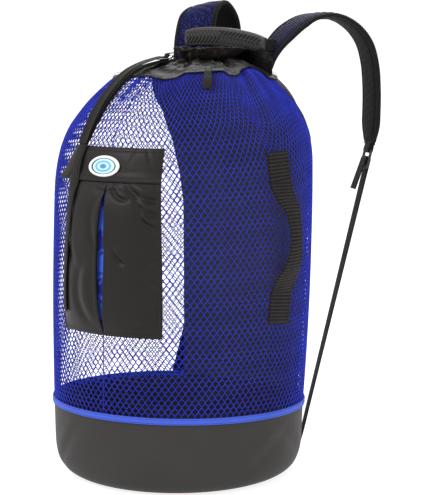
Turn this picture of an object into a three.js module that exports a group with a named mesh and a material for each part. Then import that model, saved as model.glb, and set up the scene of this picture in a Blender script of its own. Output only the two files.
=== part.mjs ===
// A mesh dive gear bag, worn as a backpack and standing here on its boot.
// Lengths are millimetres. Z is up, the pocket faces -Y, and the back panel faces +Y.
// The origin is the middle of the boot's underside. Angles go round from -Y towards +X, in degrees.
import * as THREE from "three";
import { mergeVertices } from "three/addons/utils/BufferGeometryUtils.js";

// Body
const BAG_WIDTH = 431;
const BAG_HEIGHT = 685;
const NECK_SHIFT = 75;
const CLEARANCE = 0.4;

// Boot, and the tape round its upper edge
const BOOT_HEIGHT = 114;
const BOOT_TILT = 9;
const BOOT_TILT_ANGLE = 20;
const BOOT_WALL = 3;
const BOOT_DENT = 4;
const TAPE_WIDTH = 10.5;
const TAPE_WALL = 1.6;
const TAPE_LAP = 0.15;

// Net and back panel
const NET_WALL = 2;
const NET_COLUMNS = 11;
const NET_ROWS = 9;
const NET_STRAND = 7;
const CELL_FLANK = 0.32;
const FAN_STEPS = 3;
const NET_SPAN = 1.25;
const PANEL_WIDTH = 268;
const PANEL_WALL = 3;
const PANEL_COLUMNS = 12;
const SEAM_GAP = 0.12;

// Collar, with its drawn neck and the ruffle above
const COLLAR_WALL = 2;
const COLLAR_WIDTH = 24;
const COLLAR_SCALLOP = 4;
const SCALLOPS = 7;
const COLLAR_ROWS = 5;
const COLLAR_GAP = 1.2;
const NECK_RADIUS = 37;
const RUFFLE_HEIGHT = 15;
const RUFFLE_FLARE = 10;
const RUFFLE_DEPTH = 0.07;
const RUFFLE_CURVE = 0.8;
const RUFFLE_FOLDS = 11;
const NECK_AT = 0.66;
const COLLAR_SINK = 2;
const COLLAR_CROWN = 8;
const FOLD_DEPTH = 4;
const FOLDS = 20;
const FOLD_FROM = 0.85;
const FOLD_TO = 0.98;

// Pull tab below the collar
const TAB_WIDTH = 18;
const TAB_LENGTH = 24;
const TAB_ANGLE = 47.5;
const TAB_DROP = 1;
const TAB_TAPER = 0.8;
const TAB_FOOT = 0.2;

// Pocket, with its flap, slit, lining and badge
const POCKET_WIDTH = 193;
const POCKET_BASE = 258;
const POCKET_HEIGHT = 243;
const POCKET_PUFF = 17;
const POCKET_TAPER = 0.92;
const PUFF_POWER = 4;
const POCKET_ANGLE = 6.6;
const POCKET_WALL = 1.6;
const SLIT_WIDTH = 11;
const POCKET_COLUMNS = 13;
const POCKET_ROWS = 10;
const SLIT_COLUMN = 6;
const LINING_WALL = 1;
const FLAP_HEIGHT = 51;
const FLAP_LIFT = 3;
const FLAP_GAP = 1;
const FLAP_WALL = 1.6;
const GUSSET_TURN = 4.6;
const GUSSET_LIFT = 6;
const GUSSET_POWER = 6;
const BADGE_WIDTH = 55;
const BADGE_HEIGHT = 31;
const BADGE_WALL = 2;
const BADGE_AT = 0.458;
const BADGE_DROP = 4.5;
const BADGE_TIP = 0.2;

// Side handle of wide webbing
const HANDLE_WIDTH = 50;
const HANDLE_WALL = 2.4;
const HANDLE_BASE = 270;
const HANDLE_TOP = 543;
const HANDLE_PATCH = 50;
const HANDLE_BULGE = 34;
const HANDLE_ANGLE = 86;
const HANDLE_SEAT = 0.4;
const HANDLE_STEPS = 20;

// Moulded carrying grip at the top
const GRIP_LENGTH = 172;
const GRIP_HEIGHT = 31;
const GRIP_DEPTH = 13;
const GRIP_LIFT = 35;
const GRIP_X = 9;
const GRIP_INSET = 10;
const GRIP_BORE = 0.3;
const GRIP_DROOP = 14;
const GRIP_DROOP_LEVEL = 0.1;
const GRIP_DROOP_TILT = 0.45;
const GRIP_END = 0.78;
const GRIP_END_POWER = 6;
const GRIP_SQUARE = 0.55;
const GRIP_WEB_WIDTH = 20;
const GRIP_WEB_OUT = 1.6;
const GRIP_WEB_SEWN = 9;
const GRIP_WEB_GAP = 2;
const GRIP_WEB_DROP = 9;

// Shoulder straps, their buckles and lower webbing
const STRAP_WIDTH = 70;
const STRAP_WALL = 12;
const STRAP_REACH = 194;
const STRAP_RISE = 72;
const STRAP_ROOT_X = 66;
const STRAP_INSET = 89.5;
const STRAP_HEADING = 46;
const STRAP_STEPS = 24;
const PAD_TAPER = 0.35;
const PAD_TAPER_FROM = 0.9;
const PAD_THIN = 0.5;
const PAD_THIN_FROM = 0.94;
const PAD_EDGE = 0.7;
const WEB_WIDTH = 22;
const WEB_WALL = 1.6;
const TETHER_ANGLE = 136;
const TETHER_BASE = 26;
const TETHER_SEWN = 30;
const TETHER_PEEL = 4;
const TURN_STEPS = 4;
const TAIL_LENGTH = 55;
const TAIL_CURL = 6;
const BUCKLE_WIDTH = 32;
const BUCKLE_HEIGHT = 34;
const BUCKLE_WALL = 4;
const BUCKLE_BAR = 4;
const BUCKLE_DROP = 8;
const BUCKLE_CORNER = 0.9;

// Closure strap, from the pocket's foot to the ring at the neck and back
const CLOSURE_WIDTH = 21;
const CLOSURE_WALL = 1.6;
const CLOSURE_FOOT = 290;
const CLOSURE_TOP = 0.9935;
const CLOSURE_BUNCH = 1.25;
const CLOSURE_STEPS = 22;
const CLOSURE_TAIL_STEPS = 9;
const CLOSURE_SLACK = 3;
const CLOSURE_LIFT = 2;
const RING_WIDTH = 32;
const RING_WIRE = 3.6;
const RING_FLAT = 0.05;
const RING_ROUND = 0.92;
const RING_TILT = 6;
const RING_STEPS = 20;
const RING_SIDES = 6;
const RING_LOOP = 9;
const RING_LOOP_WIDTH = 10;

// Shares of the bag's height, half width and neck shift, from the floor to the neck.
const PROFILE = [
  { up: 0, out: 0.8, back: 0 },
  { up: 0.006, out: 0.863, back: 0 },
  { up: 0.0175, out: 0.91, back: 0 },
  { up: 0.035, out: 0.942, back: 0 },
  { up: 0.058, out: 0.96, back: 0 },
  { up: 0.146, out: 0.972, back: 0.01 },
  { up: 0.277, out: 0.988, back: 0.06 },
  { up: 0.438, out: 1, back: 0.12 },
  { up: 0.628, out: 1, back: 0.187 },
  { up: 0.723, out: 0.993, back: 0.227 },
  { up: 0.778, out: 0.976, back: 0.29 },
  { up: 0.81, out: 0.952, back: 0.33 },
  { up: 0.841, out: 0.914, back: 0.37 },
  { up: 0.869, out: 0.863, back: 0.42 },
  { up: 0.898, out: 0.803, back: 0.47 },
  { up: 0.926, out: 0.728, back: 0.535 },
  { up: 0.955, out: 0.636, back: 0.61 },
  { up: 0.975, out: 0.545, back: 0.7 },
  { up: 0.99, out: 0.41, back: 0.84 },
  { up: 1, out: 0.172, back: 1 },
];

// Heights of the boot's rings, as shares of its height, and how far up and down a dent spreads.
const BOOT_LEVELS = [0, 0.036, 0.105, 0.21, 0.36, 0.55, 0.78, 1];
const DENT_CLIMB = 0.22;
const DENT_SPAN = { low: 0.05, full: 0.25, fade: 0.8, high: 0.95 };
const AROUND = 44;

// Soft dents in the boot: where they are, how far they spread and how deep they go.
const DENTS = [
  { angle: -28, up: 0.3, spread: 9, depth: 1 },
  { angle: 2, up: 0.55, spread: 14, depth: 0.5 },
  { angle: 84, up: 0.35, spread: 8, depth: 0.9 },
  { angle: 112, up: 0.5, spread: 7, depth: 1 },
  { angle: -95, up: 0.4, spread: 12, depth: 0.8 },
  { angle: 178, up: 0.45, spread: 16, depth: 0.7 },
];

// Half of the angle that the back panel covers, as a share of its angle at the boot.
const PANEL_SPREAD = [
  { up: 0.16, share: 0.97 },
  { up: 0.62, share: 1.03 },
  { up: 0.7, share: 1.09 },
  { up: 0.78, share: 1.2 },
  { up: 0.86, share: 1.4 },
  { up: 0.93, share: 1.75 },
  { up: 1, share: 2.05 },
];

// The side handle between its patches: bulge and width, as shares.
const HANDLE_LOOP = [
  { along: 0, bulge: 0, width: 1 },
  { along: 0.12, bulge: 0.3, width: 0.95 },
  { along: 0.3, bulge: 0.82, width: 0.68 },
  { along: 0.5, bulge: 1, width: 0.5 },
  { along: 0.7, bulge: 0.86, width: 0.6 },
  { along: 0.88, bulge: 0.34, width: 0.9 },
  { along: 1, bulge: 0, width: 1 },
];

// The closure strap's line on the bag's front: x in millimetres at shares of the bag's height.
const CLOSURE_LINE = [
  { up: 0.42, x: -56 },
  { up: 0.52, x: -52 },
  { up: 0.64, x: -44 },
  { up: 0.74, x: -42 },
  { up: 0.81, x: -40 },
  { up: 0.9, x: -36 },
  { up: 0.96, x: -34 },
  { up: 1, x: -25 },
];

// How the side handle's line leans round the bag from its foot to its head, in degrees.
const HANDLE_LEAN = [
  { up: 0, turn: -0.6 },
  { up: 0.19, turn: 0.5 },
  { up: 0.5, turn: -1 },
  { up: 0.82, turn: -1.4 },
  { up: 1, turn: -3.6 },
];

// Routes of the two shoulder straps. Run is a share of the reach and up one of the rise above the neck.
// Heading turns the route, face turns the strap's width, and tip lifts one edge, in degrees.
const RIGHT_ROUTE = [
  { run: 0.07, up: -0.245, heading: 1, face: 34, tip: 0 },
  { run: 0.1, up: 0, heading: 1, face: 32, tip: 0 },
  { run: 0.14, up: 0.22, heading: 1, face: 28, tip: 0 },
  { run: 0.2, up: 0.43, heading: 1, face: 24, tip: 0 },
  { run: 0.28, up: 0.64, heading: 1, face: 20, tip: 0 },
  { run: 0.38, up: 0.83, heading: 1, face: 20, tip: 0 },
  { run: 0.49, up: 0.96, heading: 1, face: 26, tip: 0 },
  { run: 0.62, up: 1, heading: 1, face: 32, tip: 0 },
  { run: 0.74, up: 0.92, heading: 1, face: 35, tip: 0 },
  { run: 0.86, up: 0.7, heading: 1, face: 35, tip: 0 },
  { run: 0.952, up: 0.36, heading: 1, face: 35, tip: 0 },
  { run: 1.002, up: -0.1, heading: 1, face: 35, tip: 0 },
  { run: 1.022, up: -0.7, heading: 1, face: 35, tip: 0 },
  { run: 1.022, up: -1.4, heading: 1, face: 35, tip: 0 },
  { run: 1.012, up: -2.02, heading: 1, face: 35, tip: 0 },
];
const LEFT_ROUTE = [
  { run: 0.13, up: -0.27, heading: 1, face: 38, tip: 0 },
  { run: 0.08, up: 0, heading: 1, face: 32, tip: 0 },
  { run: 0.07, up: 0.5, heading: 0.9, face: 20, tip: 0 },
  { run: 0.13, up: 1.04, heading: 0.5, face: 12, tip: 6 },
  { run: 0.29, up: 1.25, heading: 0.28, face: 10, tip: 10 },
  { run: 0.44, up: 0.95, heading: 0.18, face: 10, tip: 6 },
  { run: 0.49, up: 0.4, heading: 0.14, face: 8, tip: 0 },
  { run: 0.49, up: -0.2, heading: 0.13, face: 10, tip: 0 },
  { run: 0.49, up: -0.9, heading: 0.13, face: 14, tip: 0 },
  { run: 0.52, up: -1.7, heading: 0.16, face: 18, tip: 0 },
  { run: 0.54, up: -2.5, heading: 0.18, face: 20, tip: 0 },
];

const rad = THREE.MathUtils.degToRad;
const lerp = THREE.MathUtils.lerp;
const smooth = THREE.MathUtils.smoothstep;

// Straight lines between a table's rows: the value of one column where another column has the given value.
function fromTable(table, key, at, column) {
  const next = table.findIndex((row) => row[key] > at);
  if (next === 0) return table[0][column];
  if (next < 0) return table[table.length - 1][column];
  const [low, high] = [table[next - 1], table[next]];
  return lerp(low[column], high[column], (at - low[key]) / (high[key] - low[key]));
}

// The bag's outline: x is the radius, y the shift towards the back and z the height.
const outline = new THREE.CatmullRomCurve3(
  PROFILE.map(
    ({ up, out, back }) => new THREE.Vector3((out * BAG_WIDTH) / 2, back * NECK_SHIFT, up * BAG_HEIGHT),
  ),
  false,
  "centripetal",
);

// Where the outline reaches a height, found by halving.
function outlineAt(height) {
  let [low, high] = [0, 1];
  for (let step = 0; step < 30; step++) {
    const middle = (low + high) / 2;
    if (outline.getPoint(middle).z < height) low = middle;
    else high = middle;
  }
  return (low + high) / 2;
}

// The back is flatter than the sides, and flattest at the top, where the straps are sewn on.
const FLAT_LOW = 0.95;
const FLAT_TOP = 0.78;
const FLAT_POWER = 12;
const FLAT_FROM = 0.72;
const FLAT_TO = 0.97;
function flattened(angle, height) {
  const flat = lerp(FLAT_LOW, FLAT_TOP, smooth(height, FLAT_FROM * BAG_HEIGHT, FLAT_TO * BAG_HEIGHT));
  const facing = Math.max(0, -Math.cos(rad(angle)));
  return (1 + (facing / flat) ** FLAT_POWER) ** (-1 / FLAT_POWER);
}

// The net gathers into folds below the neck. They only go inwards and fade at the back.
function fold(angle, height) {
  const ramp = smooth(height, FOLD_FROM * BAG_HEIGHT, FOLD_TO * BAG_HEIGHT);
  const front = (1 + Math.cos(rad(angle))) / 2;
  return -FOLD_DEPTH * ramp * front * (0.5 - 0.5 * Math.cos(FOLDS * rad(angle)));
}

// A point on the bag at an angle and height, lifted off its surface. Folds can be left out.
function bagPoint(angle, height, lift = 0, folded = false) {
  const share = outlineAt(height);
  const { x: radius, y: shift, z } = outline.getPoint(share);
  const slope = outline.getTangent(share);
  const outward = new THREE.Vector2(slope.z, -slope.x).normalize();
  const reach =
    radius * flattened(angle, height) + (folded ? fold(angle, height) : 0) + lift * outward.x;
  return new THREE.Vector3(
    reach * Math.sin(rad(angle)),
    shift - reach * Math.cos(rad(angle)),
    z + lift * outward.y,
  );
}

// The angle of the point that lies at a given x on the bag's front.
function angleAtX(x, height) {
  return THREE.MathUtils.radToDeg(Math.asin(x / outline.getPoint(outlineAt(height)).x));
}

const bootTop = (angle) => BOOT_HEIGHT + BOOT_TILT * Math.cos(rad(angle - BOOT_TILT_ANGLE));
function collarEdge(angle) {
  const front = (1 + Math.cos(rad(angle))) / 2;
  return BAG_HEIGHT - COLLAR_WIDTH + COLLAR_SCALLOP * front * Math.cos(rad(SCALLOPS * angle));
}

// Half the panel's angle at a height, measured from the middle of the back.
function panelHalf(height) {
  const atBoot = THREE.MathUtils.radToDeg(Math.asin(PANEL_WIDTH / BAG_WIDTH));
  return atBoot * fromTable(PANEL_SPREAD, "up", height / BAG_HEIGHT, "share");
}

// A closed sheet. place(u, v, side) gives the point at shares u and v of the sheet, on its inner side
// (0) or its outer side (1). A ring closes on itself along u. keep says which cells are cloth.
// floor holds the middles of a round floor's inner and outer side, for a ring that is closed below.
function cloth(columns, rows, place, { ring = false, keep = () => true, floor = [] } = {}) {
  const wide = ring ? columns : columns + 1;
  const points = [];
  for (const side of [0, 1])
    for (let row = 0; row <= rows; row++)
      for (let column = 0; column < wide; column++)
        points.push(...place(column / columns, row / rows, side).toArray());
  const middle = points.length / 3;
  for (const point of floor) points.push(...point.toArray());
  const corner = (column, row, side) => (side * (rows + 1) + row) * wide + (column % wide);
  const isCloth = (column, row) =>
    row >= 0 &&
    row < rows &&
    (ring || (column >= 0 && column < columns)) &&
    keep((column + columns) % columns, row);
  const faces = [];
  const quad = (a, b, c, d) => faces.push(a, b, c, a, c, d);
  for (let row = 0; row < rows; row++)
    for (let column = 0; column < columns; column++) {
      if (!isCloth(column, row)) continue;
      const at = (right, up, side) => corner(column + right, row + up, side);
      quad(at(0, 0, 1), at(1, 0, 1), at(1, 1, 1), at(0, 1, 1));
      quad(at(0, 0, 0), at(0, 1, 0), at(1, 1, 0), at(1, 0, 0));
      if (!isCloth(column - 1, row)) quad(at(0, 0, 0), at(0, 0, 1), at(0, 1, 1), at(0, 1, 0));
      if (!isCloth(column + 1, row)) quad(at(1, 0, 1), at(1, 0, 0), at(1, 1, 0), at(1, 1, 1));
      if (floor.length && row === 0) {
        faces.push(middle, at(0, 0, 0), at(1, 0, 0));
        faces.push(middle + 1, at(1, 0, 1), at(0, 0, 1));
      } else if (!isCloth(column, row - 1)) quad(at(0, 0, 0), at(1, 0, 0), at(1, 0, 1), at(0, 0, 1));
      if (!isCloth(column, row + 1)) quad(at(0, 1, 1), at(1, 1, 1), at(1, 1, 0), at(0, 1, 0));
    }
  const geometry = new THREE.BufferGeometry();
  geometry.setAttribute("position", new THREE.Float32BufferAttribute(points, 3));
  geometry.setIndex(faces);
  return geometry;
}

// A strap through stations, each with its middle (at) and the direction of its width (across).
// shape(u, v) gives shares of the strap's width and wall there.
function strap(stations, width, wall, columns = 1, shape = () => ({ width: 1, wall: 1 })) {
  const last = stations.length - 1;
  return cloth(columns, last, (u, v, side) => {
    const index = Math.round(v * last);
    const { at, across } = stations[index];
    const before = stations[Math.max(0, index - 1)].at;
    const after = stations[Math.min(last, index + 1)].at;
    const along = after.clone().sub(before).normalize();
    const flat = across.clone().addScaledVector(along, -across.dot(along)).normalize();
    const outward = flat.clone().cross(along);
    const share = shape(u, v);
    return at
      .clone()
      .addScaledVector(flat, (u - 0.5) * width * share.width)
      .addScaledVector(outward, (side - 0.5) * wall * share.wall);
  });
}

// Even stations along a smooth line through chosen points.
function stationsThrough(points, acrosses, count) {
  const line = new THREE.CatmullRomCurve3(points, false, "centripetal");
  return Array.from({ length: count + 1 }, (_, index) => {
    const share = line.getUtoTmapping(index / count) * (points.length - 1);
    const low = Math.min(points.length - 2, Math.floor(share));
    return {
      at: line.getPoint(share / (points.length - 1)),
      across: acrosses[low].clone().lerp(acrosses[low + 1], share - low).normalize(),
    };
  });
}

// How far back the shoulder straps are sewn on: they keep their distance from the widest point.
const strapRootY = BAG_WIDTH / 2 - STRAP_INSET;

const bag = new THREE.Group();

// Adds a named piece with its own finish.
function piece(name, geometry, color, roughness, metalness = 0) {
  const material = new THREE.MeshStandardMaterial({ color, roughness, metalness });
  const mesh = new THREE.Mesh(geometry, material);
  mesh.name = name;
  bag.add(mesh);
  return mesh;
}

const BLACK = 0x1d1c1e;
const BLUE = 0x1230c8;
const RUBBER = 0x3b3835;

// The boot: a bucket of coated cloth with a flat floor, a rounded lower corner and soft dents.
function bootDent(angle, share) {
  return DENTS.reduce((sum, dent) => {
    const turn = ((angle - dent.angle + 540) % 360) - 180;
    const climb = (share - dent.up) / DENT_CLIMB;
    return sum + BOOT_DENT * dent.depth * Math.exp(-((turn / dent.spread) ** 2) - climb ** 2);
  }, 0);
}
function bootPoint(u, v, side) {
  const share = BOOT_LEVELS[Math.round(v * (BOOT_LEVELS.length - 1))];
  const { low, full, fade, high } = DENT_SPAN;
  const free = smooth(share, low, full) * (1 - smooth(share, fade, high));
  const dent = free * bootDent(360 * u, share);
  return bagPoint(360 * u, share * bootTop(360 * u), (side - 1) * BOOT_WALL - dent);
}
piece(
  "base_boot",
  cloth(AROUND, BOOT_LEVELS.length - 1, bootPoint, {
    ring: true,
    floor: [new THREE.Vector3(0, 0, BOOT_WALL), new THREE.Vector3(0, 0, 0)],
  }),
  0x35322f,
  0.55,
);

// The tape that binds the boot's edge to the net and to the panel.
piece(
  "seam_tape",
  cloth(
    AROUND,
    1,
    (u, v, side) =>
      bagPoint(360 * u, bootTop(360 * u) + (v - TAPE_LAP) * TAPE_WIDTH, 2 * CLEARANCE + side * TAPE_WALL),
    { ring: true },
  ),
  0x2c4fc4,
  0.7,
);

// The net: one sheet round the front and sides, cut through by six-sided gaps in offset rows.
// Its cells are laid out on a flat sheet from -1 to 1 across and 0 to 1 up, then wrapped on the bag.
function netPoint([u, v], side) {
  const low = bootTop(u * (180 - panelHalf(BOOT_HEIGHT))) + CLEARANCE;
  const high = collarEdge(u * (180 - panelHalf(BAG_HEIGHT - COLLAR_WIDTH))) - COLLAR_GAP;
  const height = lerp(low, high, v);
  const angle = u * (180 - panelHalf(height) - SEAM_GAP);
  return bagPoint(angle, height, (side - 1) * NET_WALL, true);
}
const cellHalf = 1 / NET_COLUMNS;
const cellRise = 1 / (NET_ROWS + 1 - 2 * CELL_FLANK);
const cellFlank = CELL_FLANK * cellRise;
const cellTip = cellRise - cellFlank;
const rowMiddle = (row) => cellTip + row * cellRise;

// The heights at which the net's side edges have corners, which the panel's edges share.
const seamLevels = [0];
for (let row = 0; row < NET_ROWS; row++)
  seamLevels.push(...(row % 2 ? [0] : [-cellFlank, cellFlank]).map((step) => rowMiddle(row) + step));
seamLevels.push(1);

function netGeometry() {
  const points = [];
  const face = (...corners) => {
    for (const corner of corners) points.push(...netPoint(corner, 1).toArray());
    for (const corner of corners.reverse()) points.push(...netPoint(corner, 0).toArray());
  };
  // The wall along the line from a to b, with the cloth on its left.
  const wall = (a, b) => {
    const [low, lowOut, high, highOut] = [netPoint(a, 0), netPoint(a, 1), netPoint(b, 0), netPoint(b, 1)];
    for (const corner of [low, high, highOut, low, highOut, lowOut]) points.push(...corner.toArray());
  };
  const shrink = [
    1 - NET_STRAND / (cellHalf * NET_SPAN * BAG_WIDTH),
    1 - NET_STRAND / (cellTip * BAG_HEIGHT),
  ];
  const cell = (y, corners) => {
    const middle = corners.reduce((sum, corner) => sum + corner[0], 0) / corners.length;
    const gap = corners.map(([u, v]) => [middle + (u - middle) * shrink[0], y + (v - y) * shrink[1]]);
    corners.forEach((corner, index) => {
      const next = (index + 1) % corners.length;
      face(corner, corners[next], gap[next]);
      face(corner, gap[next], gap[index]);
      wall(gap[next], gap[index]);
    });
  };
  for (let row = 0; row < NET_ROWS; row++) {
    const y = rowMiddle(row);
    const offset = row % 2;
    for (let column = 0; column < NET_COLUMNS + offset; column++) {
      const x = -1 + (2 * column + 1 - offset) * cellHalf;
      const flanks = [-cellFlank, cellFlank];
      const right = column === NET_COLUMNS ? [[x, y]] : flanks.map((step) => [x + cellHalf, y + step]);
      const left = column < offset ? [[x, y]] : flanks.map((step) => [x - cellHalf, y - step]);
      cell(y, [[x, y - cellTip], ...right, [x, y + cellTip], ...left]);
    }
  }
  // Below the first row and above the last, triangles in fans fill up to the sheet's straight edges.
  for (const [edge, inner] of [[0, seamLevels[1]], [1, 1 - seamLevels[1]]])
    for (let column = 0; column <= NET_COLUMNS; column++) {
      const x = -1 + 2 * column * cellHalf;
      const [from, to] = [Math.max(-1, x - cellHalf), Math.min(1, x + cellHalf)];
      for (let step = 0; step < FAN_STEPS; step++) {
        const ends = [step, step + 1].map((share) => [lerp(from, to, share / FAN_STEPS), edge]);
        if (edge) ends.reverse();
        face(...ends, [x, inner]);
        wall(...ends);
      }
    }
  seamLevels.slice(1).forEach((high, index) => {
    wall([1, seamLevels[index]], [1, high]);
    wall([-1, high], [-1, seamLevels[index]]);
  });
  const net = new THREE.BufferGeometry();
  net.setAttribute("position", new THREE.Float32BufferAttribute(points, 3));
  return mergeVertices(net, 1e-3);
}
piece("net_body", netGeometry(), BLUE, 0.6);

// The back panel, one padded sheet from the boot to the collar.
piece(
  "back_panel",
  cloth(PANEL_COLUMNS, seamLevels.length - 1, (u, row, side) => {
    const v = seamLevels[Math.round(row * (seamLevels.length - 1))];
    const turn = (height) => 180 + (2 * u - 1) * (panelHalf(height) - SEAM_GAP);
    const height = lerp(
      bootTop(turn(BOOT_HEIGHT)) + CLEARANCE,
      collarEdge(turn(BAG_HEIGHT - COLLAR_WIDTH)) - COLLAR_GAP,
      v,
    );
    return bagPoint(turn(height), height, (side - 1) * PANEL_WALL);
  }),
  BLACK,
  0.85,
);

// The collar: gathered cloth from the net's upper edge to the drawn neck, then the open ruffle.
function collarPoint(u, v, side) {
  const angle = 360 * u;
  const start = bagPoint(angle, collarEdge(angle), (side - 1) * COLLAR_WALL, true);
  const pleat = 1 + RUFFLE_DEPTH * Math.cos(RUFFLE_FOLDS * rad(angle)) * Math.min(1, 2 * v);
  const ring = (radius, height) =>
    new THREE.Vector3(
      (radius * pleat + side * COLLAR_WALL) * Math.sin(rad(angle)),
      NECK_SHIFT - (radius * pleat + side * COLLAR_WALL) * Math.cos(rad(angle)),
      height,
    );
  const neck = ring(NECK_RADIUS - COLLAR_WALL, BAG_HEIGHT - COLLAR_SINK);
  const top = ring(NECK_RADIUS - COLLAR_WALL + RUFFLE_FLARE, BAG_HEIGHT + RUFFLE_HEIGHT);
  if (v > NECK_AT) return neck.lerp(top, ((v - NECK_AT) / (1 - NECK_AT)) ** RUFFLE_CURVE);
  const share = v / NECK_AT;
  const middle = start.clone().lerp(neck, 0.5);
  middle.z += COLLAR_CROWN;
  const lower = start.clone().lerp(middle, share);
  return lower.lerp(middle.lerp(neck, share), share);
}
piece("collar", cloth(AROUND, COLLAR_ROWS, collarPoint, { ring: true }), BLACK, 0.8);

// The pull tab that hangs over the net below the collar, narrow at the top and round at the foot.
piece(
  "pull_tab",
  cloth(4, 5, (u, v, side) => {
    const foot = collarEdge(TAB_ANGLE) - TAB_DROP - TAB_LENGTH;
    const height = foot + v * TAB_LENGTH;
    const round = Math.sqrt(Math.min(1, TAB_FOOT + 3 * v));
    const wide = TAB_WIDTH * round * lerp(1, TAB_TAPER, v);
    const turn = THREE.MathUtils.radToDeg(wide / outline.getPoint(outlineAt(height)).x);
    return bagPoint(TAB_ANGLE + (u - 0.5) * turn, height, CLEARANCE + side * COLLAR_WALL);
  }),
  BLACK,
  0.8,
);

// The pocket on the front. Its cloth stands off the net in the middle and is sewn down round its edge.
const pocketTurn = THREE.MathUtils.radToDeg(POCKET_WIDTH / BAG_WIDTH);
const pocketTop = POCKET_BASE + POCKET_HEIGHT;
const pocketAngle = (u, height) => POCKET_ANGLE + (2 * u - 1) * pocketTurn * pocketGrow(height);
const pocketGrow = (height) => lerp(1, POCKET_TAPER, smooth(height, POCKET_BASE, pocketTop + FLAP_HEIGHT));
const puff = (u, v) => (1 - (2 * u - 1) ** PUFF_POWER) * (1 - (2 * v - 1) ** PUFF_POWER);
const netFace = 2 * CLEARANCE;
const liningFace = netFace + LINING_WALL;
const pocketFace = liningFace + CLEARANCE;
piece(
  "pocket_lining",
  cloth(12, 6, (u, v, side) => {
    const height = POCKET_BASE + v * POCKET_HEIGHT;
    return bagPoint(pocketAngle(u, height), height, netFace + side * LINING_WALL);
  }),
  0x1a3fe0,
  0.6,
);
function pocketPoint(u, v, side) {
  const column = Math.round(u * POCKET_COLUMNS);
  const height = POCKET_BASE + v * POCKET_HEIGHT;
  const opening = (1 - (2 * v - 1) ** 2) * SLIT_WIDTH;
  const slit = THREE.MathUtils.radToDeg(opening / BAG_WIDTH);
  const lip = column === SLIT_COLUMN ? -slit : column === SLIT_COLUMN + 1 ? slit : 0;
  const beyond = column - SLIT_COLUMN - 1;
  const share =
    beyond < 0 ? column / (2 * SLIT_COLUMN) : 0.5 + beyond / (2 * (POCKET_COLUMNS - SLIT_COLUMN - 1));
  const lift = pocketFace + POCKET_PUFF * puff(share, v);
  return bagPoint(pocketAngle(share, height) + lip, height, lift + side * POCKET_WALL);
}
const inSlit = (column, row) => column === SLIT_COLUMN && row > 0 && row < POCKET_ROWS - 1;
piece(
  "front_pocket",
  cloth(POCKET_COLUMNS, POCKET_ROWS, pocketPoint, { keep: (column, row) => !inSlit(column, row) }),
  BLACK,
  0.7,
);

// The flap sewn over the pocket's top, whose left end is a folded gusset that stands out further.
function flapPlace(u, v) {
  const height = pocketTop + FLAP_GAP + v * (FLAP_HEIGHT - FLAP_GAP);
  return [pocketAngle(u, height) - GUSSET_TURN * (1 - v) * (1 - u) ** 3, height];
}
const flapPuff = (u, v) => FLAP_LIFT * puff(u, v) + GUSSET_LIFT * (1 - u) ** GUSSET_POWER * (1 - v);
piece(
  "pocket_flap",
  cloth(12, 4, (u, v, side) => bagPoint(...flapPlace(u, v), netFace + flapPuff(u, v) + side * FLAP_WALL)),
  BLACK,
  0.7,
);

// The oval badge on the flap, rubber with a raised rim and a plain middle.
piece(
  "oval_badge",
  cloth(10, 2, (u, v, side) => {
    const tall = Math.max(BADGE_TIP, Math.sqrt(1 - (2 * u - 1) ** 2));
    const share = BADGE_AT + ((u - 0.5) * BADGE_WIDTH) / (POCKET_WIDTH * POCKET_TAPER);
    const level = 0.5 + (((v - 0.5) * tall * BADGE_HEIGHT) - BADGE_DROP) / FLAP_HEIGHT;
    const lift = netFace + flapPuff(share, level) + FLAP_WALL + 2 * CLEARANCE + side * BADGE_WALL;
    return bagPoint(...flapPlace(share, level), lift);
  }),
  0x9fd3ee,
  0.4,
);

// The side handle: wide webbing sewn flat to the net at both ends, folded narrow where the hand holds it.
const handleLength = HANDLE_TOP - HANDLE_BASE;
function handleStations() {
  const across = new THREE.Vector3(Math.cos(rad(HANDLE_ANGLE)), Math.sin(rad(HANDLE_ANGLE)), 0);
  return Array.from({ length: HANDLE_STEPS + 1 }, (_, index) => {
    const share = index / HANDLE_STEPS;
    const height = HANDLE_BASE + share * handleLength;
    const loop = (share * handleLength - HANDLE_PATCH) / (handleLength - 2 * HANDLE_PATCH);
    const bulge = HANDLE_BULGE * fromTable(HANDLE_LOOP, "along", loop, "bulge");
    const lift = HANDLE_SEAT + HANDLE_WALL / 2 + bulge;
    const angle = HANDLE_ANGLE + fromTable(HANDLE_LEAN, "up", share, "turn");
    return { at: bagPoint(angle, height, lift), across, loop };
  });
}
const handleLine = handleStations();
piece(
  "side_handle",
  strap(handleLine, HANDLE_WIDTH, HANDLE_WALL, 2, (u, v) => {
    const { loop } = handleLine[Math.round(v * HANDLE_STEPS)];
    const width = fromTable(HANDLE_LOOP, "along", loop, "width");
    return { width, wall: 1 / Math.sqrt(width) };
  }),
  BLACK,
  0.8,
);

// The moulded grip: a rounded bar, arched along its length, with webbing from its ends to the panel.
const gripZ = BAG_HEIGHT + GRIP_LIFT;
const gripY = strapRootY - GRIP_INSET;
const gripDrop = (share) =>
  GRIP_DROOP * (GRIP_DROOP_TILT * share + (1 - GRIP_DROOP_TILT) * share ** 2 - GRIP_DROOP_LEVEL);
function gripPoint(u, v, side) {
  const share = 2 * v - 1;
  const round = lerp(1, GRIP_END, share ** GRIP_END_POWER);
  const turn = -2 * Math.PI * u;
  const squared = (value) => Math.sign(value) * Math.abs(value) ** GRIP_SQUARE;
  const reach = side ? 1 : GRIP_BORE;
  return new THREE.Vector3(
    GRIP_X + (share * GRIP_LENGTH) / 2,
    gripY - (squared(Math.cos(turn)) * GRIP_DEPTH * reach) / 2,
    gripZ - gripDrop(share) + (squared(Math.sin(turn)) * GRIP_HEIGHT * round * reach) / 2,
  );
}
piece("grip_handle", cloth(10, 9, gripPoint, { ring: true }), RUBBER, 0.5);

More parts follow.
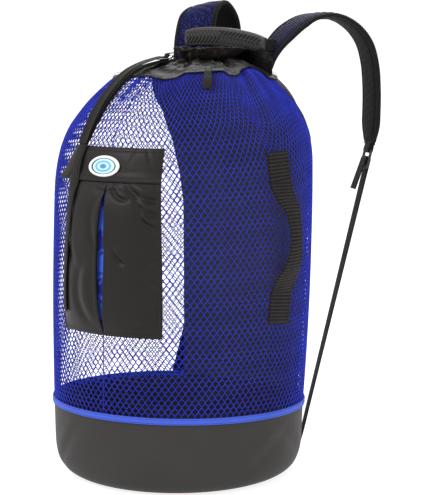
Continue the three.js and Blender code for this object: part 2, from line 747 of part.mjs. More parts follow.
// The shoulder straps: padded, edge-bound bands that rise from the panel's top, arch over and hang.
const padShape = (u, v) => ({
  width: 1 - PAD_TAPER * smooth(v, PAD_TAPER_FROM, 1),
  wall: (1 - PAD_EDGE * Math.abs(2 * u - 1) ** 3) * (1 - PAD_THIN * smooth(v, PAD_THIN_FROM, 1)),
});
function strapStations(route, hand) {
  const points = route.map(({ run, up, heading }) => {
    const turn = rad(STRAP_HEADING * heading);
    const reach = run * STRAP_REACH;
    return new THREE.Vector3(
      hand * (STRAP_ROOT_X + reach * Math.sin(turn)),
      strapRootY + reach * Math.cos(turn),
      BAG_HEIGHT + up * STRAP_RISE,
    );
  });
  const acrosses = route.map(({ face, tip }) => {
    const flat = new THREE.Vector3(Math.cos(rad(face)), -hand * Math.sin(rad(face)), 0);
    return flat.multiplyScalar(Math.cos(rad(tip))).add(new THREE.Vector3(0, 0, Math.sin(rad(tip))));
  });
  return stationsThrough(points, acrosses, STRAP_STEPS);
}

// Half a turn of webbing round a bar, from the back of the bar over its top to the front.
function turnRound(middle, up, front, radius) {
  return Array.from({ length: TURN_STEPS + 1 }, (_, step) => {
    const turn = Math.PI * (step / TURN_STEPS);
    return middle
      .clone()
      .addScaledVector(front, -radius * Math.cos(turn))
      .addScaledVector(up, radius * Math.sin(turn));
  });
}

// The buckle's flat frame, with a slot above and below its middle bar.
function buckleGeometry(middle, across, up, front) {
  const [wide, tall] = [BUCKLE_WIDTH / 2, BUCKLE_HEIGHT / 2];
  const slot = WEB_WIDTH / 2 + 2 * CLEARANCE;
  const columns = [-wide, -slot, slot, wide];
  const rows = [-tall, BUCKLE_BAR - tall, -BUCKLE_BAR / 2, BUCKLE_BAR / 2, tall - BUCKLE_BAR, tall];
  const place = (u, v, side) => {
    const corner = u % 1 === 0 ? BUCKLE_CORNER : 1;
    return middle
      .clone()
      .addScaledVector(across, columns[Math.round(3 * u)])
      .addScaledVector(up, corner * rows[Math.round(5 * v)])
      .addScaledVector(front, (side - 0.5) * BUCKLE_WALL);
  };
  return cloth(3, 5, place, { keep: (column, row) => column !== 1 || row % 2 === 0 });
}

const webTurn = Math.hypot(BUCKLE_WALL, BUCKLE_BAR) / 2 + WEB_WALL / 2 + CLEARANCE;
for (const [side, hand, route] of [["right", 1, RIGHT_ROUTE], ["left", -1, LEFT_ROUTE]]) {
  const stations = strapStations(route, hand);
  piece("shoulder_strap_" + side, strap(stations, STRAP_WIDTH, STRAP_WALL, 4, padShape), 0x1c2038, 0.85);

  // The buckle hangs in line with the webbing that runs down to the boot.
  const end = stations[STRAP_STEPS];
  const turn = hand * TETHER_ANGLE;
  const sewn = [0, 1].map((share) =>
    bagPoint(turn, TETHER_BASE + share * TETHER_SEWN, 2 * CLEARANCE + WEB_WALL + share * TETHER_PEEL),
  );
  const up = end.at.clone().sub(sewn[1]);
  up.addScaledVector(end.across, -up.dot(end.across)).normalize();
  const front = end.across.clone().cross(up);
  const middle = end.at.clone().addScaledVector(up, -(BUCKLE_HEIGHT / 2 + BUCKLE_DROP));
  piece("buckle_" + side, buckleGeometry(middle, end.across, up, front), 0x161616, 0.35);

  // Short webbing from the padded end round the buckle's top bar.
  const topBar = middle.clone().addScaledVector(up, (BUCKLE_HEIGHT - BUCKLE_BAR) / 2);
  const reach = BUCKLE_DROP + BUCKLE_BAR / 2 - 2 * CLEARANCE;
  const hook = turnRound(topBar, up.clone().negate(), front, webTurn);
  const hooked = [
    hook[0].clone().addScaledVector(up, reach).addScaledVector(front, webTurn / 3),
    ...hook,
    hook[TURN_STEPS].clone().addScaledVector(up, reach).addScaledVector(front, -webTurn / 3),
  ];
  piece(
    "strap_end_" + side,
    strap(hooked.map((at) => ({ at, across: end.across })), WEB_WIDTH, WEB_WALL),
    BLACK,
    0.8,
  );

  // The long webbing: sewn to the boot, up behind the buckle, over its middle bar and down as a tail.
  const low = new THREE.Vector3(-Math.cos(rad(turn)), -Math.sin(rad(turn)), 0);
  const over = turnRound(middle, up, front, webTurn);
  const below = over[0].clone().addScaledVector(up, -BUCKLE_HEIGHT);
  const rising = [0.1, 0.3, 0.5, 0.7, 0.9].map((share) => sewn[1].clone().lerp(below, share));
  const tail = [0.4, 1].map((share) =>
    over[TURN_STEPS]
      .clone()
      .addScaledVector(up, -share * TAIL_LENGTH)
      .addScaledVector(front, share * TAIL_CURL),
  );
  const whole = [...sewn, ...rising, below, ...over, ...tail];
  const webbing = whole.map((at, index) => {
    const share = smooth(index, 1, sewn.length + rising.length);
    return { at, across: low.clone().lerp(end.across, share).normalize() };
  });
  piece("tether_" + side, strap(webbing, WEB_WIDTH, WEB_WALL), BLACK, 0.8);

  // Webbing out of the grip's end, turned back and sewn to the front of the shoulder strap.
  const gripEnd = new THREE.Vector3(
    GRIP_X + hand * (GRIP_LENGTH / 2 + GRIP_WEB_OUT),
    gripY,
    gripZ - gripDrop(hand),
  );
  const foot = stations.findIndex(({ at }) => at.z > gripEnd.z - GRIP_WEB_DROP);
  const root = stations[foot];
  const rise = stations[foot + 1].at.clone().sub(stations[foot - 1].at).normalize();
  const facing = root.across.clone().cross(rise).normalize();
  const beside = gripEnd.clone().sub(root.at).dot(root.across);
  const onFace = (step) => {
    const at = root.at
      .clone()
      .addScaledVector(facing, (STRAP_WALL + WEB_WALL) / 2 + GRIP_WEB_GAP)
      .addScaledVector(root.across, beside - Math.sign(beside) * step * GRIP_WEB_SEWN);
    return at.addScaledVector(rise, (gripEnd.z - at.z) / rise.z);
  };
  const web = [
    { at: gripEnd, across: new THREE.Vector3(0, 0, 1) },
    { at: onFace(0), across: new THREE.Vector3(0, 0, 1).lerp(rise, 0.5) },
    { at: onFace(0.25), across: rise },
    { at: onFace(1), across: rise },
  ];
  piece("grip_web_" + side, strap(web, GRIP_WEB_WIDTH, WEB_WALL), BLACK, 0.8);
}

// The closure strap: from the pocket's lower corner up over the flap to the ring at the neck, where it
// turns back on itself. frontLift is how far the pocket or the flap stands out under it. The strap
// passes from the one to the other between two shares of the pocket's height.
const FLAP_STARTS = 0.94;
const POCKET_ENDS = 1.02;
const FLAP_ENDS = 1.06;
function frontLift(angle, height) {
  const u = (angle - POCKET_ANGLE) / (2 * pocketTurn * pocketGrow(height)) + 0.5;
  const v = (height - POCKET_BASE) / POCKET_HEIGHT;
  const w = (height - pocketTop) / FLAP_HEIGHT;
  const blend = smooth(v, FLAP_STARTS, POCKET_ENDS);
  const overPocket = pocketFace + POCKET_WALL + POCKET_PUFF * puff(u, Math.min(v, 1));
  const onPocket = v > POCKET_ENDS ? 0 : overPocket;
  const onFlap = w > FLAP_ENDS ? 0 : netFace + FLAP_WALL + flapPuff(u, THREE.MathUtils.clamp(w, 0, 1));
  return lerp(onPocket, Math.max(onFlap, onPocket), blend);
}
function closureStation(height) {
  const x = fromTable(CLOSURE_LINE, "up", height / BAG_HEIGHT, "x");
  const [left, right] = [-0.5, 0.5].map((half) => {
    const angle = angleAtX(x + half * CLOSURE_WIDTH, height);
    return bagPoint(angle, height, frontLift(angle, height) + CLOSURE_LIFT + CLOSURE_WALL / 2);
  });
  return { at: left.clone().lerp(right, 0.5), across: right.sub(left).normalize() };
}
const closureTop = CLOSURE_TOP * BAG_HEIGHT;
const rising = Array.from({ length: CLOSURE_STEPS + 1 }, (_, step) =>
  closureStation(lerp(CLOSURE_FOOT, closureTop, 1 - (1 - step / CLOSURE_STEPS) ** CLOSURE_BUNCH)),
);
const ringSeat = rising[CLOSURE_STEPS];
const ringAlong = ringSeat.at.clone().sub(rising[CLOSURE_STEPS - 1].at).normalize();
const ringOut = ringSeat.across.clone().cross(ringAlong).normalize();
const ringAcross = ringAlong.clone().cross(ringOut);
const ringTurn = (RING_WIRE + CLOSURE_WALL) / 2 + 2 * CLEARANCE;
const ringBar = ringSeat.at.clone().addScaledVector(ringOut, ringTurn);
const ringFold = turnRound(ringBar, ringAlong, ringOut, ringTurn).map((at) => ({ at, across: ringAcross }));
const back = rising
  .slice(CLOSURE_STEPS - CLOSURE_TAIL_STEPS, CLOSURE_STEPS)
  .reverse()
  .map(({ at, across }, index, all) => {
    const before = rising[rising.findIndex((station) => station.at === at) - 1];
    const outward = across.clone().cross(at.clone().sub(before.at).normalize());
    const share = index / (all.length - 1);
    const stand = 2 * ringTurn + CLOSURE_SLACK * Math.sin(Math.PI * share) - ringTurn * share ** 2;
    return { at: at.clone().addScaledVector(outward, stand), across };
  });
const closureLine = [...rising, ...ringFold.slice(1), ...back];
piece("closure_strap", strap(closureLine, CLOSURE_WIDTH, CLOSURE_WALL), BLACK, 0.75);

// The metal ring: nearly straight where the strap folds over it, and round on the side of its loop.
const ringRise = ringAlong.clone().applyAxisAngle(ringAcross, rad(RING_TILT));
const ringNormal = ringAcross.clone().cross(ringRise);
const ringHalf = (RING_WIDTH - RING_WIRE) / 2;
function ringPoint(u, v) {
  const turn = -2 * Math.PI * u;
  const depth = ringHalf * (Math.sin(turn) < 0 ? RING_FLAT : RING_ROUND);
  const wire = (RING_WIRE / 2) * Math.cos(2 * Math.PI * v);
  const normal = new THREE.Vector2(depth * Math.cos(turn), ringHalf * Math.sin(turn)).normalize();
  return ringBar
    .clone()
    .addScaledVector(ringAcross, ringHalf * Math.cos(turn) + wire * normal.x)
    .addScaledVector(ringRise, depth * Math.sin(turn) + wire * normal.y)
    .addScaledVector(ringNormal, -(RING_WIRE / 2) * Math.sin(2 * Math.PI * v));
}
function ringGeometry() {
  const points = [];
  const faces = [];
  const corner = (step, side) => (step % RING_STEPS) * RING_SIDES + (side % RING_SIDES);
  for (let step = 0; step < RING_STEPS; step++)
    for (let side = 0; side < RING_SIDES; side++) {
      points.push(...ringPoint(step / RING_STEPS, side / RING_SIDES).toArray());
      const [a, b] = [corner(step, side), corner(step + 1, side)];
      const [c, d] = [corner(step + 1, side + 1), corner(step, side + 1)];
      faces.push(a, b, c, a, c, d);
    }
  const ring = new THREE.BufferGeometry();
  ring.setAttribute("position", new THREE.Float32BufferAttribute(points, 3));
  ring.setIndex(faces);
  return ring;
}
piece("neck_ring", ringGeometry(), 0xd8d8d8, 0.25, 1);

// The loop of webbing that ties the ring to the drawn neck.
const ringFar = ringBar.clone().addScaledVector(ringRise, ringHalf * RING_ROUND);
const loopTurn = turnRound(ringFar, ringRise.clone().negate(), ringNormal, ringTurn + 2 * CLEARANCE);
const loopEnds = [loopTurn[0], loopTurn[TURN_STEPS]].map((at, index) =>
  at
    .clone()
    .addScaledVector(ringRise, RING_LOOP)
    .addScaledVector(ringNormal, (index ? -1 : 1) * (ringTurn - WEB_WALL)),
);
const loopLine = [loopEnds[0], ...loopTurn, loopEnds[1]].map((at) => ({ at, across: ringAcross }));
piece("ring_loop", strap(loopLine, RING_LOOP_WIDTH, WEB_WALL), BLACK, 0.8);

export default bag;
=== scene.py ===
import bisect
import contextlib
import math
import random

import bpy
from mathutils import Matrix, Vector, noise


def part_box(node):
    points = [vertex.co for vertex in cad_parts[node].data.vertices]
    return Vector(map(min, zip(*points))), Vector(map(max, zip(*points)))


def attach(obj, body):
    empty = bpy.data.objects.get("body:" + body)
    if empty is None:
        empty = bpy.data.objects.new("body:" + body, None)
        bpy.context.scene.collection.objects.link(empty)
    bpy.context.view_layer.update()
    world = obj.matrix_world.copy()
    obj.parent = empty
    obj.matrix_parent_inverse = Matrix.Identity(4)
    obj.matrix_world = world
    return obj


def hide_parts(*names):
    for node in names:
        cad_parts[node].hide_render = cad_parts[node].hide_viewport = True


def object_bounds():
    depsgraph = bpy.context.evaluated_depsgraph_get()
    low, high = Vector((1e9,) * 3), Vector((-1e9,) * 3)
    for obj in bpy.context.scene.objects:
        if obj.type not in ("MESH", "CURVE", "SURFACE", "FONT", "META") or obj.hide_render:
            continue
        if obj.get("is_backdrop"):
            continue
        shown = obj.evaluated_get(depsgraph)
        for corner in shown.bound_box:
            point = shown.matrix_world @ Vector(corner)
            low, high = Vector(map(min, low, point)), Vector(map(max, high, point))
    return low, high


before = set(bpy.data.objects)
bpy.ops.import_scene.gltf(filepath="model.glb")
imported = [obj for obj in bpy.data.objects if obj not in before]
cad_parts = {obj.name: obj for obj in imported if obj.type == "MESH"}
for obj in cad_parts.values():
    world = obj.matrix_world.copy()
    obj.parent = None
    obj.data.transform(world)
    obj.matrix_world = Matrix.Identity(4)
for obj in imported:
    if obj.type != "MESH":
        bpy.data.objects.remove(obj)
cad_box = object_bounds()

# The photographer's corner: a pale floor that runs into a pale room, and wide soft lamps. The camera
# stands off the bag's front right side, a little above its middle, behind a long lens.
CAMERA_AT = Vector((1.6712, -1.9917, 0.740))
LOOKED_AT = Vector((0.0506, 0.0424, 0.372))
FRAME_HEIGHT = 495
LENS_PIXELS = 1567
SENSOR = 36
FLOOR_SIZE = 30
FLOOR_COLOR = (0.35, 0.35, 0.35)
FLOOR_GLOW = 0.8
ROOM_LIGHT = 1.1
LAMPS = (
    # name, place, width, power
    ("key_lamp", (-0.6, -2.6, 2.6), 1.6, 42),
    ("side_lamp", (2.9, -0.6, 1.9), 1.4, 9),
    ("back_lamp", (-1.4, 2.2, 2.4), 1.6, 30),
)
SURFACE = "Principled BSDF"
camera = bpy.data.objects.new("camera", bpy.data.cameras.new("camera"))
camera.location = CAMERA_AT
camera.rotation_euler = (LOOKED_AT - CAMERA_AT).to_track_quat("-Z", "Y").to_euler()
camera.data.sensor_width = SENSOR
camera.data.lens = LENS_PIXELS / FRAME_HEIGHT * SENSOR
bpy.context.scene.collection.objects.link(camera)
bpy.context.scene.camera = camera
bpy.context.scene.view_settings.view_transform = "Standard"

room = bpy.data.worlds.new("room")
room.use_nodes = True
room.node_tree.nodes["Background"].inputs["Color"].default_value = (1, 1, 1, 1)
room.node_tree.nodes["Background"].inputs["Strength"].default_value = ROOM_LIGHT
bpy.context.scene.world = room

for name, place, width, power in LAMPS:
    lamp = bpy.data.objects.new(name, bpy.data.lights.new(name, "AREA"))
    lamp.data.size = width
    lamp.data.energy = power
    lamp.location = place
    lamp.rotation_euler = (LOOKED_AT - Vector(place)).to_track_quat("-Z", "Y").to_euler()
    bpy.context.scene.collection.objects.link(lamp)
# Sets a node's inputs, each to a value or to another node's output.
def feed(material, node, inputs):
    for name, value in inputs.items():
        socket = material.node_tree.nodes[node].inputs[name]
        if isinstance(value, bpy.types.NodeSocket):
            material.node_tree.links.new(value, socket)
        else:
            socket.default_value = value


# Adds a shader node, with its settings by name and its inputs as feed takes them.
def add_node(material, kind, inputs, **settings):
    node = material.node_tree.nodes.new("ShaderNode" + kind)
    for setting, value in settings.items():
        setattr(node, setting, value)
    feed(material, node.name, inputs)
    return node


def new_finish(name, inputs):
    material = bpy.data.materials.new(name)
    material.use_nodes = True
    add_node(material, "TexCoord", {})
    feed(material, SURFACE, inputs)
    return material
bpy.ops.object.select_all(action="DESELECT")
bpy.ops.mesh.primitive_plane_add(size=FLOOR_SIZE, location=(0, 0, 0))
floor = bpy.context.object
floor.name = "floor"
floor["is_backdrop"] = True
pale = new_finish("pale_floor", {"Base Color": (*FLOOR_COLOR, 1), "Roughness": 0.9})
feed(pale, SURFACE, {"Emission Color": (1, 1, 1, 1), "Emission Strength": FLOOR_GLOW})
floor.data.materials.append(pale)

# The boot: a bucket of coated cloth that keeps the bag upright, cut as one wall and a round floor, with
# the seam at the floor turned in. It is stiff enough to stand, and creases softly where it was folded.
BOOT_RISE = 0.114
BOOT_TILT = 0.009
BOOT_WALL = 0.003
NECK_SHIFT = 0.075
RUFFLE_RISE = 0.015
BOOT_COLUMNS = 220
BOOT_ROWS = 44
BOOT_TURN_IN = 0.012
BOOT_INNER = 0.05
BOOT_COLOR = (0.037, 0.033, 0.0325)
PROFILE = (
    # height, half width and shift to the back, as shares of the neck's height, the girth and NECK_SHIFT
    (0, 0.8, 0),
    (0.006, 0.863, 0),
    (0.0175, 0.91, 0),
    (0.035, 0.942, 0),
    (0.058, 0.96, 0),
    (0.146, 0.972, 0.01),
    (0.277, 0.988, 0.06),
    (0.438, 1, 0.12),
    (0.628, 1, 0.187),
    (0.723, 0.993, 0.227),
    (0.778, 0.976, 0.29),
    (0.81, 0.952, 0.33),
    (0.841, 0.914, 0.37),
    (0.869, 0.863, 0.42),
    (0.898, 0.803, 0.47),
    (0.926, 0.728, 0.535),
    (0.955, 0.636, 0.61),
    (0.975, 0.545, 0.7),
    (0.99, 0.41, 0.84),
    (1, 0.172, 1),
)
CREASES = (
    # angle, share of the boot's height, slant, length, width and depth of a soft crease
    (-24, 0.42, 0.35, 12, 0.11, 0.0022),
    (33, 0.3, 0.0, 20, 0.13, 0.0014),
    (45, 0.62, -0.25, 15, 0.12, 0.0020),
    (60, 0.48, -0.3, 14, 0.11, 0.0024),
    (84, 0.5, 0.2, 12, 0.12, 0.0018),
    (104, 0.55, -0.2, 12, 0.12, 0.0022),
    (150, 0.5, 0.25, 16, 0.12, 0.0020),
    (-75, 0.55, -0.25, 15, 0.12, 0.0022),
    (-120, 0.4, 0.22, 17, 0.13, 0.0020),
    (-160, 0.6, -0.2, 14, 0.12, 0.0020),
)

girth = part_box("net_body")[1].x
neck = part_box("collar")[1].z - RUFFLE_RISE


def blend_step(value, low, high):
    share = min(1.0, max(0.0, (value - low) / (high - low)))
    return share * share * (3 - 2 * share)


def between(low, high, share):
    return low + (high - low) * share


# A soft line through chosen points, with short steps.
def soft_line(points, steps=24):
    points = [Vector(point) for point in points]
    ends = [2 * points[0] - points[1], *points, 2 * points[-1] - points[-2]]
    line = []
    for a, b, c, d in zip(ends, ends[1:], ends[2:], ends[3:]):
        ab, bc, cd = (max(1e-6, (end - start).length ** 0.5) for start, end in ((a, b), (b, c), (c, d)))
        leave = ((b - a) / ab - (c - a) / (ab + bc) + (c - b) / bc) * bc
        reach = ((c - b) / bc - (d - b) / (bc + cd) + (d - c) / cd) * bc
        for step in range(steps):
            t = step / steps
            curve = (3 * (c - b) - 2 * leave - reach) * t**2 + (2 * (b - c) + leave + reach) * t**3
            line.append(b + leave * t + curve)
    return [*line, points[-1]]


outline = soft_line([(out * girth, back * NECK_SHIFT, up * neck) for up, out, back in PROFILE], 40)
outline_heights = [point.z for point in outline]


# The back is flatter than the sides, and flattest at the top.
def flattened(angle, height):
    flat = between(0.95, 0.78, blend_step(height, 0.72 * neck, 0.97 * neck))
    facing = max(0.0, -math.cos(math.radians(angle)))
    return (1 + (facing / flat) ** 12) ** (-1 / 12)


# What one list holds where the other, which rises, reaches a value.
def looked_up(rising, values, at):
    index = min(len(rising) - 2, max(0, bisect.bisect_right(rising, at) - 1))
    share = (at - rising[index]) / (rising[index + 1] - rising[index])
    return index, share, between(values[index], values[index + 1], share)


# A point on the bag: angles run from the front towards the side handle, and lift is off the cloth.
def bag_point(angle, height, lift=0.0, pull=0.0):
    index, share, spot = looked_up(outline_heights, outline, height)
    rise = (outline[index + 1] - outline[index]).normalized()
    outward = Vector((rise.z, -rise.x)).normalized()
    reach = spot.x * flattened(angle, height) - pull + lift * outward.x
    turn = math.radians(angle)
    return Vector((reach * math.sin(turn), spot.y - reach * math.cos(turn), spot.z + lift * outward.y))


def boot_top(angle):
    return BOOT_RISE + BOOT_TILT * math.cos(math.radians(angle - 20))


# Each crease is a soft dent with a lower ridge above it.
def crease_depth(angle, share):
    depth = 0.0
    for at, up, slant, length, width, deep in CREASES:
        turn = ((angle - at + 540) % 360) - 180
        across = share - up - slant * turn / length
        depth += deep * math.exp(-((turn / length) ** 2) - (across / width) ** 2)
        depth -= 0.6 * deep * math.exp(-((turn / length) ** 2) - ((across - 1.8 * width) / width) ** 2)
    return depth


# Edit mode with all of a piece selected, or only the edges or faces that have the given numbers.
@contextlib.contextmanager
def editing(piece, kind="FACE", chosen=None):
    bpy.ops.object.mode_set(mode="EDIT")
    bpy.ops.mesh.select_mode(type=kind)
    bpy.ops.mesh.select_all(action="SELECT" if chosen is None else "DESELECT")
    bpy.ops.object.mode_set(mode="OBJECT")
    parts = piece.data.edges if kind == "EDGE" else piece.data.polygons
    for index in chosen or ():
        parts[index].select = True
    bpy.ops.object.mode_set(mode="EDIT")
    yield
    bpy.ops.object.mode_set(mode="OBJECT")


def new_grid(name, columns, rows):
    bpy.ops.object.select_all(action="DESELECT")
    bpy.ops.mesh.primitive_grid_add(x_subdivisions=columns, y_subdivisions=rows, size=2)
    piece = bpy.context.object
    piece.name = piece.data.name = name
    return piece


# A flat grid of cloth, laid point by point where place(u, v) says. Its UV map is in metres of cloth.
def laid_cloth(name, columns, rows, place, size):
    piece = new_grid(name, columns, rows)
    for vertex in piece.data.vertices:
        vertex.co = place((vertex.co.x + 1) / 2, (vertex.co.y + 1) / 2)
    for corner in piece.data.uv_layers[0].data:
        corner.uv = (corner.uv[0] * size[0], corner.uv[1] * size[1])
    with editing(piece):
        bpy.ops.mesh.remove_doubles(threshold=1e-5)
    bpy.ops.object.shade_smooth()
    return piece


def apply_modifier(piece, kind, **settings):
    bpy.ops.object.select_all(action="DESELECT")
    piece.select_set(True)
    bpy.context.view_layer.objects.active = piece
    modifier = piece.modifiers.new(kind.lower(), kind)
    for setting, value in settings.items():
        setattr(modifier, setting, value)
    bpy.ops.object.modifier_apply(modifier=modifier.name)


# Hands a finished piece over: its material, its body and the solids it stands for. The slot is not used.
def hand_over(piece, material, slot, *nodes):
    piece.data.materials.clear()
    piece.data.materials.append(material)
    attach(piece, "root")
    if nodes:
        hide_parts(*nodes)


# Coordinates for a finish: "UV" is in metres of cloth, "Object" in metres of the bag.
def placed(material, kind):
    return material.node_tree.nodes["Texture Coordinate"].outputs[kind]


# Small random spots, 0 to 1, more of them to the metre as the scale grows.
def spots(material, scale, **more):
    inputs = {"Vector": placed(material, "Object"), "Scale": scale, **more}
    return add_node(material, "TexNoise", inputs).outputs["Fac"]


# Stripes across the cloth, each of the given width, 0 to 1.
def stripes(material, direction, width, bend=0, detail=1):
    inputs = {"Vector": placed(material, "UV"), "Scale": math.pi / (10 * width)}
    inputs.update({"Distortion": bend, "Detail Scale": detail})
    return add_node(material, "TexWave", inputs, bands_direction=direction).outputs["Fac"]


def ranged(material, value, low, high, start=0, end=1):
    inputs = {"Value": value, "From Min": start, "From Max": end, "To Min": low, "To Max": high}
    return add_node(material, "MapRange", inputs).outputs[0]


def combined(material, one, other, operation="MULTIPLY"):
    return add_node(material, "Math", {0: one, 1: other}, operation=operation).outputs[0]


def scaled(material, color, share):
    return add_node(material, "VectorMath", {0: color, "Scale": share}, operation="SCALE").outputs[0]


# Fine relief, on the surface itself or under the relief that is there.
def raised(material, height, strength, distance, onto=SURFACE):
    bump = add_node(material, "Bump", {"Height": height, "Strength": strength, "Distance": distance})
    feed(material, onto, {"Normal": bump.outputs["Normal"]})


# A woven finish: threads of the given width cross at right angles, over slow changes of shade.
def woven(name, color, roughness, thread=0.0012, relief=0.3, shade=0.35, sheen=0.05, wrinkle=0.0, gloss=0.2):
    material = new_finish(name, {"Roughness": roughness, "Specular IOR Level": gloss})
    feed(material, SURFACE, {"Sheen Weight": sheen, "Sheen Roughness": 0.4})
    threads = [stripes(material, direction, thread) for direction in ("X", "Y")]
    weave = combined(material, *threads, "MAXIMUM")
    clouds = ranged(material, spots(material, 9, Detail=5), 1 - shade, 1 + shade)
    shades = combined(material, clouds, ranged(material, weave, 1 - shade, 1))
    feed(material, SURFACE, {"Base Color": scaled(material, color, shades)})
    raised(material, weave, relief, thread / 2)
    if wrinkle:
        raised(material, spots(material, 26, Detail=3, Distortion=0.8), 0.6, wrinkle, "Bump")
    return material


def boot_place(u, v):
    angle = 360 * u
    share = v**1.4
    crease = crease_depth(angle, share) * blend_step(share, 0.04, 0.2) * (1 - blend_step(share, 0.85, 0.97))
    return bag_point(angle, share * boot_top(angle), 0.0, crease)


boot = laid_cloth("boot_cloth", BOOT_COLUMNS, BOOT_ROWS, boot_place, (2 * math.pi * girth, BOOT_RISE))
on_floor = [vertex.co.z < 1e-6 for vertex in boot.data.vertices]
rim = [edge.index for edge in boot.data.edges if all(on_floor[index] for index in edge.vertices)]
with editing(boot, "EDGE", rim):
    bpy.ops.mesh.edge_face_add()
    bpy.ops.mesh.inset(thickness=BOOT_TURN_IN)
    bpy.ops.mesh.inset(thickness=BOOT_INNER)
    bpy.ops.mesh.poke()
    bpy.ops.mesh.select_all(action="SELECT")
    bpy.ops.mesh.normals_make_consistent(inside=False)
apply_modifier(boot, "SOLIDIFY", thickness=BOOT_WALL, offset=-1)
coated = woven("coated_cloth", BOOT_COLOR, 0.55, 0.0009, 0.12, 0.16, 0.0, 0.0015, 0.14)
hand_over(boot, coated, "boot", "base_boot")

# The tape: a narrow woven binding that joins the boot's edge to the net and the panel all round, folded
# over the raw edges and sewn down by two rows of stitches.
TAPE_WIDTH = 0.0105
TAPE_WALL = 0.0014
TAPE_LAP = 0.15
TAPE_CROWN = 0.0004
TAPE_ROW_LIFT = 0.0026
NET_FACE = 0.0008
TAPE_COLOR = (0.055, 0.11, 0.62)
STITCH_LENGTH = 0.0032
STITCH_WIDTH = 0.0008
STITCH_PITCH = 0.0045
THREAD_COLOR = (0.03, 0.055, 0.3)


def tape_place(u, v):
    angle = 360 * u
    crown = TAPE_CROWN * math.sin(math.pi * v)
    return bag_point(angle, boot_top(angle) + (v - TAPE_LAP) * TAPE_WIDTH, NET_FACE + TAPE_WALL + crown)


tape = laid_cloth("binding_tape", 220, 4, tape_place, (2 * math.pi * girth, TAPE_WIDTH))
apply_modifier(tape, "SOLIDIFY", thickness=TAPE_WALL, offset=-1)
hand_over(tape, woven("tape_weave", TAPE_COLOR, 0.65, 0.0011, 0.5, 0.25, 0.05), "tape", "seam_tape")


# Rows of stitches: each line is a list of (point, outward) pairs, and one stitch is shaped and copied.
def sew(name, lines, thread, slot, length=STITCH_LENGTH, width=STITCH_WIDTH, pitch=STITCH_PITCH):
    bpy.ops.object.select_all(action="DESELECT")
    bpy.ops.mesh.primitive_cylinder_add(vertices=6, radius=1, depth=1, rotation=(0, math.pi / 2, 0))
    stitch = bpy.context.object
    bpy.ops.object.transform_apply(location=False, rotation=True, scale=False)
    shape = [vertex.co.copy() for vertex in stitch.data.vertices]
    rounds = [tuple(face.vertices) for face in stitch.data.polygons]
    bpy.data.objects.remove(stitch)
    points, faces = [], []
    for line in lines:
        run = 0.0
        for (start, out), (end, _) in zip(line, line[1:]):
            gap = (end - start).length
            along = (end - start).normalized()
            side = out.cross(along).normalized()
            while run < gap:
                base = len(points)
                for corner in shape:
                    half = width / 2 * (1 if abs(corner.x) < 0.4 else 0.8)
                    spot = start.lerp(end, run / gap) + along * corner.x * length
                    points.append(spot + (side * corner.y + out * corner.z) * half)
                faces += [tuple(base + index for index in face) for face in rounds]
                run += pitch
            run -= gap
    mesh = bpy.data.meshes.new(name)
    mesh.from_pydata([tuple(point) for point in points], [], faces)
    piece = bpy.data.objects.new(name, mesh)
    bpy.context.scene.collection.objects.link(piece)
    hand_over(piece, thread, slot)


def thread_finish(name, color):
    material = new_finish(name, {"Roughness": 0.6, "Specular IOR Level": 0.2})
    shades = ranged(material, spots(material, 900), 0.7, 1.3)
    feed(material, SURFACE, {"Base Color": scaled(material, color, shades)})
    return material


# A line on the bag for a row of stitches, through points given as angle, height and lift.
def bag_line(points):
    line = []
    for angle, height, lift in points:
        spot = bag_point(angle, height, lift)
        line.append((spot, (bag_point(angle, height, lift + 0.001) - spot).normalized()))
    return line


tape_rows = [
    bag_line([
        (turn, boot_top(turn) + (share - TAPE_LAP) * TAPE_WIDTH, TAPE_ROW_LIFT) for turn in range(0, 361, 2)
    ])
    for share in (0.2, 0.8)
]
sew("tape_stitches", tape_rows, thread_finish("blue_thread", THREAD_COLOR), "tape")

# The net: knitted cord in six-sided gaps, in offset rows, cut wide and gathered at the neck so that it
# falls in folds below the collar. It closes the front and the sides, and is made in two halves.
NET_PITCH = 0.0108
NET_ROW = 0.0072
NET_LEAN = 0.37
NET_CORD = 0.0019
NET_COLOR = (0.017, 0.028, 0.38)
NET_SPLIT = 5
NET_LAP = 0.0004
SEAM_GAP = 0.0004
PANEL_MARGIN = 0.12
COLLAR_GAP = 0.0012
EDGE_DEPTH = 0.024
COLLAR_EDGE = (
    # angle, and how far below the neck the collar's wavy lower edge is
    (-180, 0.024),
    (-70, 0.024),
    (-40, 0.027),
    (-24, 0.030),
    (-10, 0.024),
    (4, 0.022),
    (12, 0.025),
    (19, 0.027),
    (25, 0.025),
    (30, 0.017),
    (43, 0.0155),
    (54, 0.014),
    (60, 0.014),
    (64, 0.020),
    (69, 0.0215),
    (75, 0.015),
    (82, 0.010),
    (91, 0.008),
    (96, 0.014),
    (102, 0.026),
    (112, 0.030),
    (124, 0.025),
    (180, 0.024),
)
PANEL_WIDTH = 0.268
PANEL_SPREAD = (
    # height and half angle, as shares of the neck's height and of the angle at the boot
    (0.16, 0.97),
    (0.62, 1.03),
    (0.7, 1.09),
    (0.78, 1.2),
    (0.86, 1.4),
    (0.93, 1.75),
    (1, 2.05),
)
GATHERS = (
    # angle, spread, depth and the share of the neck's height where the gather starts
    (-64, 5, 0.006, 0.84),
    (-47, 4, 0.005, 0.86),
    (-33, 4, 0.007, 0.82),
    (-20, 4, 0.006, 0.86),
    (-7, 4, 0.007, 0.84),
    (5, 3.5, 0.006, 0.86),
    (16, 4, 0.008, 0.8),
    (28, 3.5, 0.006, 0.86),
    (39, 4, 0.008, 0.78),
    (52, 4, 0.006, 0.86),
    (64, 4, 0.007, 0.82),
    (77, 4.5, 0.008, 0.8),
    (90, 4, 0.006, 0.85),
    (103, 4, 0.006, 0.84),
    (-80, 4, 0.006, 0.84),
    (-96, 4, 0.006, 0.85),
)


